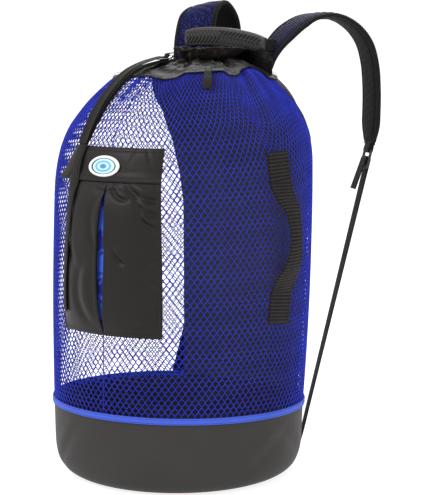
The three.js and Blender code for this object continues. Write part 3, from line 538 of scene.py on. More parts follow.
# The second column of a table at a value of its first, which rises.
def from_table(table, value):
    for (low, first), (high, second) in zip(table, table[1:]):
        if value <= high:
            return between(first, second, min(1, max(0, (value - low) / (high - low))))
    return table[-1][1]


# Half the back panel's width, as an angle.
def panel_half(height):
    at_boot = math.degrees(math.asin(PANEL_WIDTH / 2 / girth))
    return at_boot * from_table(PANEL_SPREAD, height / neck)


def collar_edge(angle):
    return neck - from_table(COLLAR_EDGE, (angle + 180) % 360 - 180)


# How far the gathers draw the net in at a point.
def gather(angle, height):
    depth = 0.0
    for at, spread, deep, start in GATHERS:
        ramp = blend_step(height, start * neck, 0.975 * neck)
        if ramp:
            turn = (angle - at) / (spread * (1.3 - 0.45 * ramp))
            depth += deep * ramp * math.exp(-turn * turn)
    return depth


# Even steps up the bag's outline, so that a row of the net keeps its height over the shoulder.
outline_run = [0.0]
for before, after in zip(outline, outline[1:]):
    outline_run.append(outline_run[-1] + math.hypot(after.z - before.z, after.x - before.x))


def run_at(height):
    return looked_up(outline_heights, outline_run, height)[2]


def height_at(run):
    return looked_up(outline_run, outline_heights, run)[2]


# One half of the net: a grid whose every second upright is left out in each row, so that six-sided gaps
# remain, laid between shares of the way round from the panel's left edge to its right one.
def net_half(name, from_share, to_share):
    span = 2 * (180 - panel_half(0.3 * neck)) * math.radians(1) * girth
    columns = round(span * (to_share - from_share) / NET_PITCH)
    rows = round((run_at(collar_edge(0)) - run_at(boot_top(0))) / NET_ROW)
    net = new_grid(name, 2 * columns, rows)

    def place_in(vertex):
        return round((vertex.co.x + 1) * columns), round((vertex.co.y + 1) / 2 * rows)

    crossed = []
    for edge in net.data.edges:
        (column, row), (other, above) = (place_in(net.data.vertices[index]) for index in edge.vertices)
        if column == other and 0 < column < 2 * columns and column % 2 != min(row, above) % 2:
            crossed.append(edge.index)
    with editing(net, "EDGE", crossed):
        bpy.ops.mesh.dissolve_edges(use_verts=False)
    for vertex in net.data.vertices:
        column, row = place_in(vertex)
        lean = 0 if row in (0, rows) else (-NET_LEAN if (column + row) % 2 else NET_LEAN)
        side = 2 * between(from_share, to_share, column / (2 * columns)) - 1
        low = run_at(boot_top(side * (180 - panel_half(BOOT_RISE))) + SEAM_GAP)
        edge = collar_edge(side * (180 - panel_half(neck - EDGE_DEPTH)))
        high = run_at(collar_edge(side * (180 - panel_half(edge))) + NET_LAP)
        height = height_at(between(low, high, (row + lean) / rows))
        angle = side * (180 - panel_half(height) - PANEL_MARGIN)
        vertex.co = bag_point(angle, height, -NET_CORD / 2, gather(angle, height))
    apply_modifier(net, "WIREFRAME", thickness=NET_CORD, use_even_offset=False, use_boundary=True)
    return net


net_cord = woven("net_cord", NET_COLOR, 0.5, 0.0008, 0.3, 0.3, 0.03, 0.0, 0.12)
middle_share = 0.5 + NET_SPLIT / (2 * (180 - panel_half(0.6 * neck)))
right_net = net_half("net_right", middle_share, 1)
left_net = net_half("net_left", 0, middle_share)
hand_over(right_net, net_cord, "net", "net_body")
hand_over(left_net, net_cord, "net")

# The back panel: padded cloth against the wearer's back, in one piece from the boot to the collar. Two
# bowed seams quilt it into a spine and two wings, and a row of stitches follows its edge.
PANEL_WALL = 0.003
PANEL_PUFF = 0.005
PANEL_SEAM = 0.36
PANEL_BOW = 0.10
PANEL_COLOR = (0.046, 0.044, 0.048)
BLACK_THREAD = (0.03, 0.03, 0.033)


def panel_turn(u, height):
    return 180 + (2 * u - 1) * (panel_half(height) - PANEL_MARGIN)


def panel_seams(v):
    bow = PANEL_BOW * (1 - (2 * v - 1) ** 2)
    return (0.045, PANEL_SEAM - bow, 1 - PANEL_SEAM + bow, 0.955)


# The height at a share of the way up the panel, on a line that starts and ends at the given angles.
def panel_height(v, start, end):
    low, high = boot_top(start) + SEAM_GAP, collar_edge(end) - COLLAR_GAP
    return height_at(between(run_at(low), run_at(high), v))


def panel_place(u, v):
    height = panel_height(v, panel_turn(u, BOOT_RISE), panel_turn(u, neck - EDGE_DEPTH))
    seam = min(abs(u - at) for at in panel_seams(v))
    rise = PANEL_PUFF * (1 - math.exp(-((seam / 0.035) ** 2))) * blend_step(min(v, 1 - v), 0, 0.06)
    ripple = 0.0006 * math.sin(v * 90 + 6 * u) * math.exp(-((seam / 0.05) ** 2))
    return bag_point(panel_turn(u, height), height, rise * 0.6 - 0.0006 + ripple)


panel = laid_cloth("back_padding", 110, 150, panel_place, (PANEL_WIDTH * 1.1, 0.55))
apply_modifier(panel, "SOLIDIFY", thickness=PANEL_WALL, offset=-1)
panel_finish = woven("panel_cloth", PANEL_COLOR, 0.75, 0.0013, 0.5, 0.3, 0.05, 0.002)
hand_over(panel, panel_finish, "panel", "back_panel")


def panel_line(pick):
    points = []
    for step in range(81):
        v = 0.03 + 0.94 * step / 80
        height = panel_height(v, 180, 180)
        points.append((panel_turn(panel_seams(v)[pick], height), height, -0.0002))
    return bag_line(points)


black_thread = thread_finish("black_thread", BLACK_THREAD)
sew("panel_stitches", [panel_line(pick) for pick in range(4)], black_thread, "panel", 0.0045, 0.0012, 0.0065)

# The collar: light crackled cloth sewn to the net, drawn in by a cord in a channel, so that it gathers
# in pleats that grow towards the neck, and opens again above it as a frill.
COLLAR_WALL = 0.0012
NECK_RADIUS = 0.037
NECK_SINK = 0.002
NECK_SHARE = 0.62
COLLAR_CROWN = 0.008
FRILL_FLARE = 0.019
FRILL_PAINTED_LIGHT = 5
COLLAR_PLEATS = 23
EDGE_LAP = 0.0042
CRUMPLE = 0.0046
CRUMPLE_SCALES = ((34, 1.0), (78, 0.5))
COLLAR_LIFT = 0.0022
FRILL_LEAN = Vector((0.011, -0.002, 0.004))
COLLAR_COLOR = (0.0072, 0.0060, 0.0057)

random.seed(7)
pleat_shift = [random.uniform(-1, 1) for _ in range(COLLAR_PLEATS)]
pleat_size = [random.uniform(0.5, 1.1) for _ in range(COLLAR_PLEATS)]


# A value that goes softly from each one of a list to the next, round the neck.
def ring_value(values, turn):
    place = (turn % 1.0) * len(values)
    index = int(place)
    share = blend_step(place - index, 0, 1)
    return between(values[index % len(values)], values[(index + 1) % len(values)], share)


def pleat(u, tightness):
    wave = 2 * math.pi * (COLLAR_PLEATS * u + 0.35 * ring_value(pleat_shift, u))
    sharp = 1 - abs(math.sin(wave / 2)) ** 0.8
    return (2 * sharp - 0.7) * tightness * ring_value(pleat_size, u + 0.3)


# Sharp, uneven creases, as stiff coated cloth takes when it is drawn together.
def crumple(spot, depth):
    ridge = Vector((0, 0, 0))
    for scale, share in CRUMPLE_SCALES:
        for axis in range(3):
            place = spot * scale + Vector((axis * 7.3, 1.7, 0.4))
            ridge[axis] += share * (0.45 - 1.6 * abs(noise.noise(place)))
    return ridge * depth


def collar_place(u, v):
    angle = 360 * u
    turn = math.radians(angle)
    folded = gather(angle if angle < 180 else angle - 360, neck)
    start = bag_point(angle, collar_edge(angle) - EDGE_LAP, COLLAR_LIFT, 0.5 * folded)

    def ring(radius, height):
        return Vector((radius * math.sin(turn), NECK_SHIFT - radius * math.cos(turn), height))

    seat = ring(NECK_RADIUS, neck - NECK_SINK)
    if v < NECK_SHARE:
        share = v / NECK_SHARE
        middle = start.lerp(seat, 0.5) + Vector((0, 0, COLLAR_CROWN))
        spot = start.lerp(middle, share).lerp(middle.lerp(seat, share), share)
        tight = 0.0042 * blend_step(share, 0.0, 0.75) * (1 - 0.75 * blend_step(share, 0.86, 1.0))
        spot.z += pleat(u, tight)
        spot.z += 0.0012 * math.sin(9 * turn + 14 * share) * blend_step(share, 0.05, 0.3) * (1 - share)
        spot.z -= 0.0025 * math.exp(-(((share - 0.88) / 0.045) ** 2))
        return spot + crumple(spot, CRUMPLE * blend_step(share, 0.05, 0.34))
    share = (v - NECK_SHARE) / (1 - NECK_SHARE)
    flare = FRILL_FLARE * share**0.8
    rim = RUFFLE_RISE * (1 - 0.12 * share * (1 + math.sin(5 * turn + 1)))
    radius = NECK_RADIUS + flare + pleat(u, 0.0012 + 0.0048 * share)
    spot = ring(radius, neck - NECK_SINK + (rim + NECK_SINK) * share)
    return spot + FRILL_LEAN * share + crumple(spot, 1.3 * CRUMPLE * (0.4 + 0.6 * share))


collar = laid_cloth("gathered_collar", 460, 60, collar_place, (2 * math.pi * 0.11, 0.13))
apply_modifier(collar, "SOLIDIFY", thickness=COLLAR_WALL, offset=-1)
crackled = woven("crackled_cloth", COLLAR_COLOR, 0.5, 0.0007, 0.15, 0.6, 0.01, 0.007, 0.13)
# Writes a value at each point of a piece, for its finish to read.
def mark(piece, name, value_at):
    marks = piece.data.attributes.new(name, "FLOAT", "POINT")
    for vertex, mark in zip(piece.data.vertices, marks.data):
        mark.value = value_at(vertex.co)


# Paints light or shade into a finish: its colour is scaled from low to high as the mark goes from 0 to 1.
def paint_light_and_shade(material, name, low, high):
    marks = add_node(material, "Attribute", {}, attribute_name=name)
    share = ranged(material, marks.outputs["Fac"], low, high)
    color = material.node_tree.nodes["Vector Math"].outputs[0]
    feed(material, SURFACE, {"Base Color": scaled(material, color, share)})


# Painted light: the frill's upper part is made paler than the rest of the collar, standing in for the light
# on its crinkled folds in the shade under the grip.
mark(collar, "frill", lambda spot: blend_step(spot.z, neck - 0.004, neck + 0.6 * RUFFLE_RISE))
paint_light_and_shade(crackled, "frill", 1, FRILL_PAINTED_LIGHT)
hand_over(collar, crackled, "nylon", "collar")
edge_line = bag_line([(turn, collar_edge(turn) - EDGE_LAP + 0.003, 0.0036) for turn in range(-180, 181, 2)])
sew("collar_stitches", [edge_line], black_thread, "nylon")

# The pull tab: two layers of the collar's cloth sewn together, which the hand holds while the neck is
# drawn in. It hangs over the net below the collar.
TAB_WIDTH = 0.018
TAB_LENGTH = 0.032
TAB_FOOT = 0.046
TAB_ANGLE = 47.5
TAB_WALL = 0.002
TAB_LIFT = 0.0032


def tab_place(u, v):
    height = neck - TAB_FOOT + v * TAB_LENGTH
    wide = TAB_WIDTH * math.sqrt(min(1, 0.12 + 4 * v)) * between(1, 0.55, v)
    radius = bag_point(90, height).x
    crown = 0.0016 * (1 - (2 * u - 1) ** 2) + 0.0009 * math.exp(-(((abs(2 * u - 1) - 0.72) / 0.12) ** 2))
    return bag_point(TAB_ANGLE + math.degrees((u - 0.5) * wide / radius), height, TAB_LIFT + crown)


tab = laid_cloth("pull_tab_cloth", 18, 30, tab_place, (TAB_WIDTH, TAB_LENGTH))
apply_modifier(tab, "SOLIDIFY", thickness=TAB_WALL, offset=-1)
hand_over(tab, crackled, "nylon", "pull_tab")

# The pocket's lining: thin bright cloth behind the slit, loose enough to lie in shallow folds, whose colour
# carries painted light and shade in bands, one fold after the other. It is sewn in along the pocket's edge.
POCKET_WIDTH = 0.193
POCKET_BASE = 0.258
POCKET_HEIGHT = 0.243
POCKET_ANGLE = 6.6
POCKET_TAPER = 0.92
FLAP_HEIGHT = 0.051
LINING_WALL = 0.001
LINING_FOLD = 0.075
LINING_BULGE = 0.0095
LINING_INSET = 0.018
LINING_PAINTED_SHADE = (0.003, 0.008, 0.17)
LINING_PAINTED_LIGHT = (0.045, 0.13, 0.78)

pocket_top = POCKET_BASE + POCKET_HEIGHT
pocket_turn = math.degrees(POCKET_WIDTH / (2 * girth))


def pocket_angle(u, height):
    grow = between(1, POCKET_TAPER, blend_step(height, POCKET_BASE, pocket_top + FLAP_HEIGHT))
    return POCKET_ANGLE + (2 * u - 1) * pocket_turn * grow


def lining_place(u, v):
    u, v = between(LINING_INSET, 1 - LINING_INSET, u), between(LINING_INSET, 1 - LINING_INSET, v)
    height = POCKET_BASE + v * POCKET_HEIGHT
    inside = 1 - abs(2 * u - 1) ** 4
    fold = 0.0016 * inside * (1 + math.sin(2 * math.pi * v * POCKET_HEIGHT / LINING_FOLD + 3 * u))
    fold += LINING_BULGE * (1 - (2 * v - 1) ** 4) ** 2 * math.exp(-(((u - 0.5) / 0.1) ** 2))
    return bag_point(pocket_angle(u, height), height, NET_FACE + LINING_WALL + fold)


lining = laid_cloth("pocket_lining_cloth", 60, 100, lining_place, (POCKET_WIDTH, POCKET_HEIGHT))
apply_modifier(lining, "SOLIDIFY", thickness=LINING_WALL, offset=-1)
bright_cloth = woven("bright_cloth", LINING_PAINTED_LIGHT, 0.4, 0.0008, 0.15, 0.15, 0.3)
# Painted light and shade: bands from dark to bright along the lining, standing in for its folds catching the
# light one after the other.
inputs = {"Fac": stripes(bright_cloth, "Y", LINING_FOLD, 2.5, 30)}
painted_fold_light = add_node(bright_cloth, "ValToRGB", inputs)
for stop, at, color in zip(painted_fold_light.color_ramp.elements, (0.15, 0.75), (LINING_PAINTED_SHADE, LINING_PAINTED_LIGHT)):
    stop.position, stop.color = at, (*color, 1)
feed(bright_cloth, "Vector Math", {0: painted_fold_light.outputs["Color"]})
hand_over(lining, bright_cloth, "lining", "pocket_lining")

# The pocket: smooth coated cloth that stands off the net, with a long upright slit whose lips are turned
# in. It pulls slanting creases towards its right edge, and is sewn to the net by a row along its border.
POCKET_PUFF = 0.017
POCKET_WALL = 0.0014
POCKET_FACE = NET_FACE + LINING_WALL + SEAM_GAP
SLIT_WIDTH = 0.011
SLIT_MARGIN = 0.03
POCKET_HALF = 64
POCKET_ROWS = 190
POCKET_COLOR = (0.0105, 0.0078, 0.0075)
POCKET_CREASES = (
    # from and to, as shares of the pocket's width and height, then the half width and the depth
    (0.55, 0.965, 0.69, 0.885, 0.004, 0.0055),
    (0.7, 0.975, 0.985, 0.885, 0.006, 0.0075),
    (0.8, 0.865, 0.985, 0.79, 0.0055, 0.0062),
    (0.82, 0.785, 0.975, 0.705, 0.0055, 0.006),
    (0.61, 0.555, 0.69, 0.485, 0.004, 0.0042),
    (0.83, 0.53, 0.985, 0.515, 0.006, 0.0032),
    (0.86, 0.42, 0.985, 0.35, 0.006, 0.0034),
    (0.9, 0.17, 0.99, 0.27, 0.006, 0.004),
    (0.84, 0.07, 0.97, 0.16, 0.006, 0.004),
    (0.3, 0.42, 0.34, 0.12, 0.009, 0.003),
    (0.14, 0.85, 0.17, 0.5, 0.009, 0.0024),
    (0.36, 0.96, 0.62, 0.955, 0.0035, 0.0022),
    (0.44, 0.9, 0.46, 0.6, 0.006, 0.0016),
)


def puff(u, v):
    return (1 - (2 * u - 1) ** 4) * (1 - (2 * v - 1) ** 4)


# A crease is a valley with a soft ridge beside it, both fading towards its ends.
def pocket_crease(u, v):
    lift = 0.0
    spot = Vector((u * POCKET_WIDTH, v * POCKET_HEIGHT))
    for u_from, v_from, u_to, v_to, width, deep in POCKET_CREASES:
        start = Vector((u_from * POCKET_WIDTH, v_from * POCKET_HEIGHT))
        along = Vector((u_to * POCKET_WIDTH, v_to * POCKET_HEIGHT)) - start
        share = (spot - start).dot(along) / along.length_squared
        if -0.4 < share < 1.4:
            bow = 0.12 * along.length * (1 - (2 * share - 1) ** 2)
            across = (spot - start).cross(along) / along.length - bow
            fade = blend_step(share, -0.3, 0.25) * (1 - blend_step(share, 0.8, 1.35))
            valley = math.exp(-((across / width) ** 2))
            ridge = math.exp(-(((across + 1.9 * width) / (1.2 * width)) ** 2))
            lift += deep * fade * (0.5 * ridge - valley)
    return lift


def pocket_place(u, v):
    column = round(u * (2 * POCKET_HALF + 1))
    height = POCKET_BASE + v * POCKET_HEIGHT
    left = column <= POCKET_HALF
    share = column / (2 * POCKET_HALF) if left else 0.5 + (column - POCKET_HALF - 1) / (2 * POCKET_HALF)
    from_slit = abs(share - 0.5) * POCKET_WIDTH
    open_share = 1 - ((2 * v - 1) / (1 - SLIT_MARGIN)) ** 2
    opening = max(0, open_share) * SLIT_WIDTH / 2
    lip = (-1 if left else 1) * math.degrees(opening / girth) * math.exp(-from_slit / 0.03)
    lift = POCKET_FACE + POCKET_PUFF * puff(share, v) + pocket_crease(share, v) * puff(share, v) ** 0.4
    inside = max(0, open_share) ** 0.5
    lift += inside * 0.0012 * math.exp(-(((from_slit - 0.003) / 0.0025) ** 2))
    lift -= inside * 0.0022 * math.exp(-from_slit / 0.0016)
    hem = min(share, 1 - share) * POCKET_WIDTH
    lift += 0.0009 * math.exp(-(((hem - 0.0035) / 0.0018) ** 2))
    return bag_point(pocket_angle(share, height) + lip, height, max(POCKET_FACE, lift) + POCKET_WALL)


pocket_size = (POCKET_WIDTH, POCKET_HEIGHT)
pocket = laid_cloth("pocket_cloth", 2 * POCKET_HALF + 1, POCKET_ROWS, pocket_place, pocket_size)


# The middle of each face on the flat cloth, in metres, with the face's number.
def face_middles(piece):
    for face in piece.data.polygons:
        corners = [piece.data.uv_layers[0].data[index].uv for index in face.loop_indices]
        yield face.index, sum(corner[0] for corner in corners) / 4, sum(corner[1] for corner in corners) / 4


low_row, high_row = round(SLIT_MARGIN / 2 * POCKET_ROWS) + 1, round((1 - SLIT_MARGIN / 2) * POCKET_ROWS) - 2
slit_at = (POCKET_HALF + 0.5) / (2 * POCKET_HALF + 1) * POCKET_WIDTH
slit_faces = [
    face for face, across, up in face_middles(pocket)
    if abs(across - slit_at) < 1e-4 and low_row < up / POCKET_HEIGHT * POCKET_ROWS < high_row
]
with editing(pocket, chosen=slit_faces):
    bpy.ops.mesh.delete(type="FACE")
apply_modifier(pocket, "SOLIDIFY", thickness=POCKET_WALL, offset=-1)
pocket_finish = woven("smooth_cloth", POCKET_COLOR, 0.4, 0.0006, 0.1, 0.14, 0.01, 0.0012, 0.2)
hand_over(pocket, pocket_finish, "nylon", "front_pocket")

border = [(0.022, step / 60) for step in range(59, 0, -1)]
border += [(step / 50, 0.02) for step in range(1, 50)]
border += [(0.978, step / 60) for step in range(1, 60)]
border_line = []
for u, v in border:
    height = POCKET_BASE + v * POCKET_HEIGHT
    lift = POCKET_FACE + POCKET_PUFF * puff(u, v) + POCKET_WALL + 0.001
    border_line.append((pocket_angle(u, height), height, lift))
sew("pocket_stitches", [bag_line(border_line)], black_thread, "nylon", 0.0026, 0.0007, 0.0038)

# The flap: the same cloth in two layers, sewn to the net above the pocket's top and folded down over it,
# with a rolled lower edge. Its left end is a gusset that folds out to a corner.
FLAP_GAP = 0.001
FLAP_DROP = 0.003
FLAP_LIFT = 0.003
FLAP_WALL = 0.0016
FLAP_OVER = 0.0032
GUSSET_TURN = 4.6
GUSSET_LIFT = 0.006
FLAP_CREASES = (
    # share of the width, share of the height, lean and depth
    (0.74, 0.95, 0.1, 0.0014),
    (0.86, 0.8, -0.12, 0.0012),
    (0.3, 0.5, 0.08, 0.0009),
)


def flap_spot(u, v):
    height = pocket_top + FLAP_GAP + v * (FLAP_HEIGHT - FLAP_GAP)
    return pocket_angle(u, height) - GUSSET_TURN * (1 - v) * (1 - u) ** 3, height


def flap_lift(u, v):
    return FLAP_LIFT * puff(u, max(0, v)) + GUSSET_LIFT * (1 - u) ** 6 * (1 - v)


def flap_place(u, v):
    down = between(-FLAP_DROP / FLAP_HEIGHT, 1, v)
    angle, height = flap_spot(u, down)
    lift = flap_lift(u, down) + FLAP_OVER * (1 - blend_step(down, 0.0, 0.3))
    lift += 0.0012 * math.exp(-(((v - 0.045) / 0.04) ** 2))
    lift -= 0.0016 * math.exp(-((((u - 0.1) - 0.02 * v) / 0.012) ** 2)) * (1 - blend_step(v, 0.75, 1))
    for at, top, lean, deep in FLAP_CREASES:
        crease = u - at - lean * (v - top)
        lift -= deep * math.exp(-((crease / 0.018) ** 2)) * math.exp(-(((v - top) / 0.35) ** 2))
    seam = 0.0007 * math.exp(-(((v - 0.9) / 0.03) ** 2))
    return bag_point(angle, height, NET_FACE + FLAP_WALL + lift - seam)


flap = laid_cloth("flap_cloth", 150, 44, flap_place, (POCKET_WIDTH, FLAP_HEIGHT))
apply_modifier(flap, "SOLIDIFY", thickness=FLAP_WALL, offset=-1)
hand_over(flap, pocket_finish, "nylon", "pocket_flap")


def flap_line(v, start):
    points = []
    for step in range(start, 79):
        u = step / 80
        lift = NET_FACE + FLAP_WALL + flap_lift(u, v) + FLAP_OVER * (1 - blend_step(v, 0.0, 0.3)) + 0.0004
        points.append((*flap_spot(u, v), lift))
    return bag_line(points)


sew("flap_stitches", [flap_line(0.9, 2), flap_line(0.13, 8)], black_thread, "nylon", 0.0026, 0.0007, 0.0038)

# The badge: soft rubber moulded in one oval, with a white rim, a dark groove and a pale middle whose
# plain raised ovals stand for the maker's own sign. It is welded to the flap.
BADGE_WIDTH = 0.055
BADGE_HEIGHT = 0.031
BADGE_AT = 0.458
BADGE_DROP = 0.0045
BADGE_ROUNDS = 40
BADGE_WALL = 0.001
BADGE_RINGS = (
    # share of the badge's half width, height, then the colour up to there
    (0.0, 0.0026, (0.06, 0.24, 0.45)),
    (0.18, 0.0026, (0.06, 0.24, 0.45)),
    (0.24, 0.0018, (0.55, 0.78, 0.90)),
    (0.36, 0.0018, (0.55, 0.78, 0.90)),
    (0.42, 0.0023, (0.12, 0.38, 0.60)),
    (0.5, 0.0023, (0.12, 0.38, 0.60)),
    (0.56, 0.0017, (0.55, 0.78, 0.90)),
    (0.69, 0.0017, (0.45, 0.70, 0.85)),
    (0.72, 0.0012, (0.006, 0.03, 0.07)),
    (0.82, 0.0012, (0.006, 0.03, 0.07)),
    (0.84, 0.0026, (0.80, 0.81, 0.81)),
    (0.95, 0.0028, (0.80, 0.81, 0.81)),
    (1.0, 0.0012, (0.7, 0.71, 0.71)),
)


def badge_place(u, v):
    turn = 2 * math.pi * u
    across, up = v * math.cos(turn), v * math.sin(turn)
    share = BADGE_AT + across * BADGE_WIDTH / (2 * POCKET_WIDTH * POCKET_TAPER)
    level = 0.5 + (up * BADGE_HEIGHT / 2 - BADGE_DROP) / FLAP_HEIGHT
    angle, height = flap_spot(share, level)
    rise = from_table([(at, high) for at, high, _ in BADGE_RINGS], v)
    over = FLAP_OVER * (1 - blend_step(BADGE_DROP / FLAP_HEIGHT, 0.0, 0.3))
    return bag_point(angle, height, NET_FACE + FLAP_WALL + flap_lift(share, level) + over * 0.2 + rise)


badge = laid_cloth("badge_rubber", 2 * BADGE_ROUNDS, 44, badge_place, (1.0, 1.0))
apply_modifier(badge, "SOLIDIFY", thickness=BADGE_WALL, offset=-1)
rubber = new_finish("badge_colors", {"Roughness": 0.35})
outwards = add_node(rubber, "SeparateXYZ", {0: placed(rubber, "UV")}).outputs["Y"]
rings = add_node(rubber, "ValToRGB", {"Fac": outwards})
for index, (at, _, color) in enumerate(BADGE_RINGS):
    while len(rings.color_ramp.elements) <= index:
        rings.color_ramp.elements.new(at)
    rings.color_ramp.elements[index].position = at
    rings.color_ramp.elements[index].color = (*color, 1)
specks = spots(rubber, 400)
speckled = scaled(rubber, rings.outputs["Color"], ranged(rubber, specks, 0.9, 1.08))
feed(rubber, SURFACE, {"Base Color": speckled})
raised(rubber, specks, 0.1, 0.0004)
hand_over(badge, rubber, "badge", "oval_badge")

# The side handle: one length of wide ribbed webbing, sewn to the net flat at both ends. Between them it
# stands off the bag, and its edges are folded in behind so that a hand can close round it.
HANDLE_WIDTH = 0.050
HANDLE_WALL = 0.0022
HANDLE_BASE = 0.270
HANDLE_TOP = 0.543
HANDLE_PATCH = 0.050
HANDLE_BULGE = 0.034
HANDLE_ANGLE = 86
HANDLE_SEAT = 0.0006
HANDLE_FOLD = 0.0026
HANDLE_COLOR = (0.0155, 0.0125, 0.0118)
HANDLE_LOOP = (
    # share of the loop, then shares of the bulge and of the width
    (0, 0, 1),
    (0.12, 0.3, 0.95),
    (0.3, 0.82, 0.68),
    (0.5, 1, 0.5),
    (0.7, 0.86, 0.6),
    (0.88, 0.34, 0.9),
    (1, 0, 1),
)
HANDLE_LEAN = (
    # share of the height, and the turn round the bag in degrees
    (0, -0.6),
    (0.19, 0.5),
    (0.5, -1),
    (0.82, -1.4),
    (1, -3.6),
)

handle_bulges = [(spot.x, spot.y) for spot in soft_line([(at, bulge, 0) for at, bulge, _ in HANDLE_LOOP], 12)]
handle_widths = [(spot.x, spot.y) for spot in soft_line([(at, width, 0) for at, _, width in HANDLE_LOOP], 12)]


# The point and the frame at a run along a soft line of stations, each a middle and a direction across.
def band_frame(stations, steps=14):
    middles = soft_line([at for at, _ in stations], steps)
    acrosses = soft_line([across for _, across in stations], steps)
    runs = [0.0]
    for before, after in zip(middles, middles[1:]):
        runs.append(runs[-1] + (after - before).length)
    last = len(middles) - 1
    alongs = [(middles[min(last, i + 1)] - middles[max(0, i - 1)]).normalized() for i in range(last + 1)]

    def frame_at(run):
        index = min(last - 1, max(0, bisect.bisect_right(runs, run) - 1))
        share = (run - runs[index]) / max(1e-9, runs[index + 1] - runs[index])
        along = alongs[index].lerp(alongs[index + 1], share).normalized()
        across = acrosses[index].lerp(acrosses[index + 1], share)
        across = (across - along * across.dot(along)).normalized()
        return middles[index].lerp(middles[index + 1], share), across, across.cross(along).normalized()

    return frame_at, runs[-1]


# A band of cloth along stations. shape(u, v) gives its place across and off the flat in metres.
def band(name, stations, width, wall, columns, rows, shape=None):
    frame_at, length = band_frame(stations)

    def band_place(u, v):
        at, across, out = frame_at(v * length)
        side, lift = shape(u, v) if shape else ((u - 0.5) * width, 0.0)
        return at + across * side + out * lift

    piece = laid_cloth(name, columns, rows, band_place, (width, length))
    apply_modifier(piece, "SOLIDIFY", thickness=wall, offset=0)
    return piece


# A ribbed webbing: raised ribs across its length over fine threads, with painted light on the rib tops and
# painted shade in the furrows between them.
def ribbed(name, color, rib, rib_shade_contrast=0.5, relief=0.6, direction="Y", gloss=0.14):
    material = woven(name, color, 0.65, 0.0011, 0.35, 0.3, 0.02, 0.0, gloss)
    ribs = stripes(material, direction, rib, 0.6, 20)
    woven_color = material.node_tree.nodes["Vector Math"].outputs[0]
    # Painted light and shade: the ribs' tops are made paler and the furrows between them darker.
    shades = ranged(material, ribs, 1 - rib_shade_contrast, 1 + rib_shade_contrast)
    feed(material, SURFACE, {"Base Color": scaled(material, woven_color, shades)})
    raised(material, ribs, relief, rib / 3, "Bump")
    return material


handle_length = HANDLE_TOP - HANDLE_BASE


def handle_loop(share):
    return (share * handle_length - HANDLE_PATCH) / (handle_length - 2 * HANDLE_PATCH)


handle_across = Vector((math.cos(math.radians(HANDLE_ANGLE)), math.sin(math.radians(HANDLE_ANGLE)), 0))
handle_stations = []
for step in range(41):
    share = step / 40
    bulge = HANDLE_BULGE * max(0, from_table(handle_bulges, handle_loop(share)))
    angle = HANDLE_ANGLE + from_table(HANDLE_LEAN, share)
    height = HANDLE_BASE + share * handle_length
    handle_stations.append((bag_point(angle, height, HANDLE_SEAT + HANDLE_WALL / 2 + bulge), handle_across))


def handle_shape(u, v):
    half = HANDLE_WIDTH / 2 * min(1, max(0.5, from_table(handle_widths, handle_loop(v))))
    side = (u - 0.5) * HANDLE_WIDTH
    beyond = abs(side) - half
    if beyond <= 0:
        return side, 0.0004 * math.cos(math.pi * side / half)
    return math.copysign(half - beyond, side), -HANDLE_FOLD * blend_step(beyond, 0, 0.002)


handle = band("handle_webbing", handle_stations, HANDLE_WIDTH, HANDLE_WALL, 48, 200, handle_shape)
apply_modifier(handle, "BEVEL", width=0.0005, segments=2, limit_method="ANGLE")
hand_over(handle, ribbed("handle_ribs", HANDLE_COLOR, 0.0056, 0.85, 1.0), "webbing", "side_handle")

handle_frame, handle_run = band_frame(handle_stations)


# A sewn box with a cross in it, as a closed line on a band between two runs along it.
def sewn_box(frame_at, low, high, half, lift):
    corners = [(-half, low), (half, low), (half, high), (-half, high), (-half, low), (half, high)]
    line = []
    for (side, run), (next_side, next_run) in zip(corners, corners[1:]):
        for step in range(6):
            at, across, out = frame_at(between(run, next_run, step / 6))
            line.append((at + across * between(side, next_side, step / 6) + out * lift, out))
    return line


box_half = HANDLE_WIDTH / 2 - 0.004
boxes = [
    sewn_box(handle_frame, low, high, box_half, 0.0016)
    for low, high in (
        (0.005, HANDLE_PATCH - 0.008), (handle_run - HANDLE_PATCH + 0.008, handle_run - 0.005)
    )
]
sew("handle_stitches", boxes, black_thread, "webbing", 0.003, 0.0009, 0.0042)

# The grip: one soft rubber moulding round a tube of webbing, flat at the front and back, with two rows of
# slanting bars that meet in the middle like arrows, inside a smooth rim.
GRIP_LENGTH = 0.172
GRIP_HEIGHT = 0.031
GRIP_DEPTH = 0.013
GRIP_LIFT = 0.035
GRIP_X = 0.009
GRIP_INSET = 0.010
STRAP_INSET = 0.0895
GRIP_DROOP = 0.014
GRIP_END = 0.78
BAR_PITCH = 0.0079
BAR_RISE = 0.0019
BAR_MIRROR = 0.0015
GRIP_COLOR = (0.027, 0.0245, 0.0235)

strap_root_y = girth - STRAP_INSET
grip_y = strap_root_y - GRIP_INSET
grip_z = neck + GRIP_LIFT


def grip_drop(share):
    return GRIP_DROOP * (0.45 * share + 0.55 * share**2 - 0.1)


# Closes a piece's open ends and turns its faces outwards.
def close_up(piece):
    with editing(piece):
        bpy.ops.mesh.fill_holes(sides=0)
        bpy.ops.mesh.normals_make_consistent(inside=False)


def squared(value):
    return math.copysign(abs(value) ** 0.55, value)


# The bars' pattern: 1 on a bar and on the rim, 0 in the grooves between.
def bar_height(share, z):
    wave = ((abs(share * GRIP_LENGTH / 2 + GRIP_X - BAR_MIRROR) - abs(z)) / BAR_PITCH) % 1
    bar = blend_step(wave, 0.0, 0.14) * (1 - blend_step(wave, 0.52, 0.66))
    edge = 1 - blend_step(abs(z), 0.33 * GRIP_HEIGHT, 0.38 * GRIP_HEIGHT)
    tip = 1 - blend_step(abs(share), 0.91, 0.94)
    return max(bar * blend_step(abs(z), 0.0004, 0.0012), 1 - edge * tip)


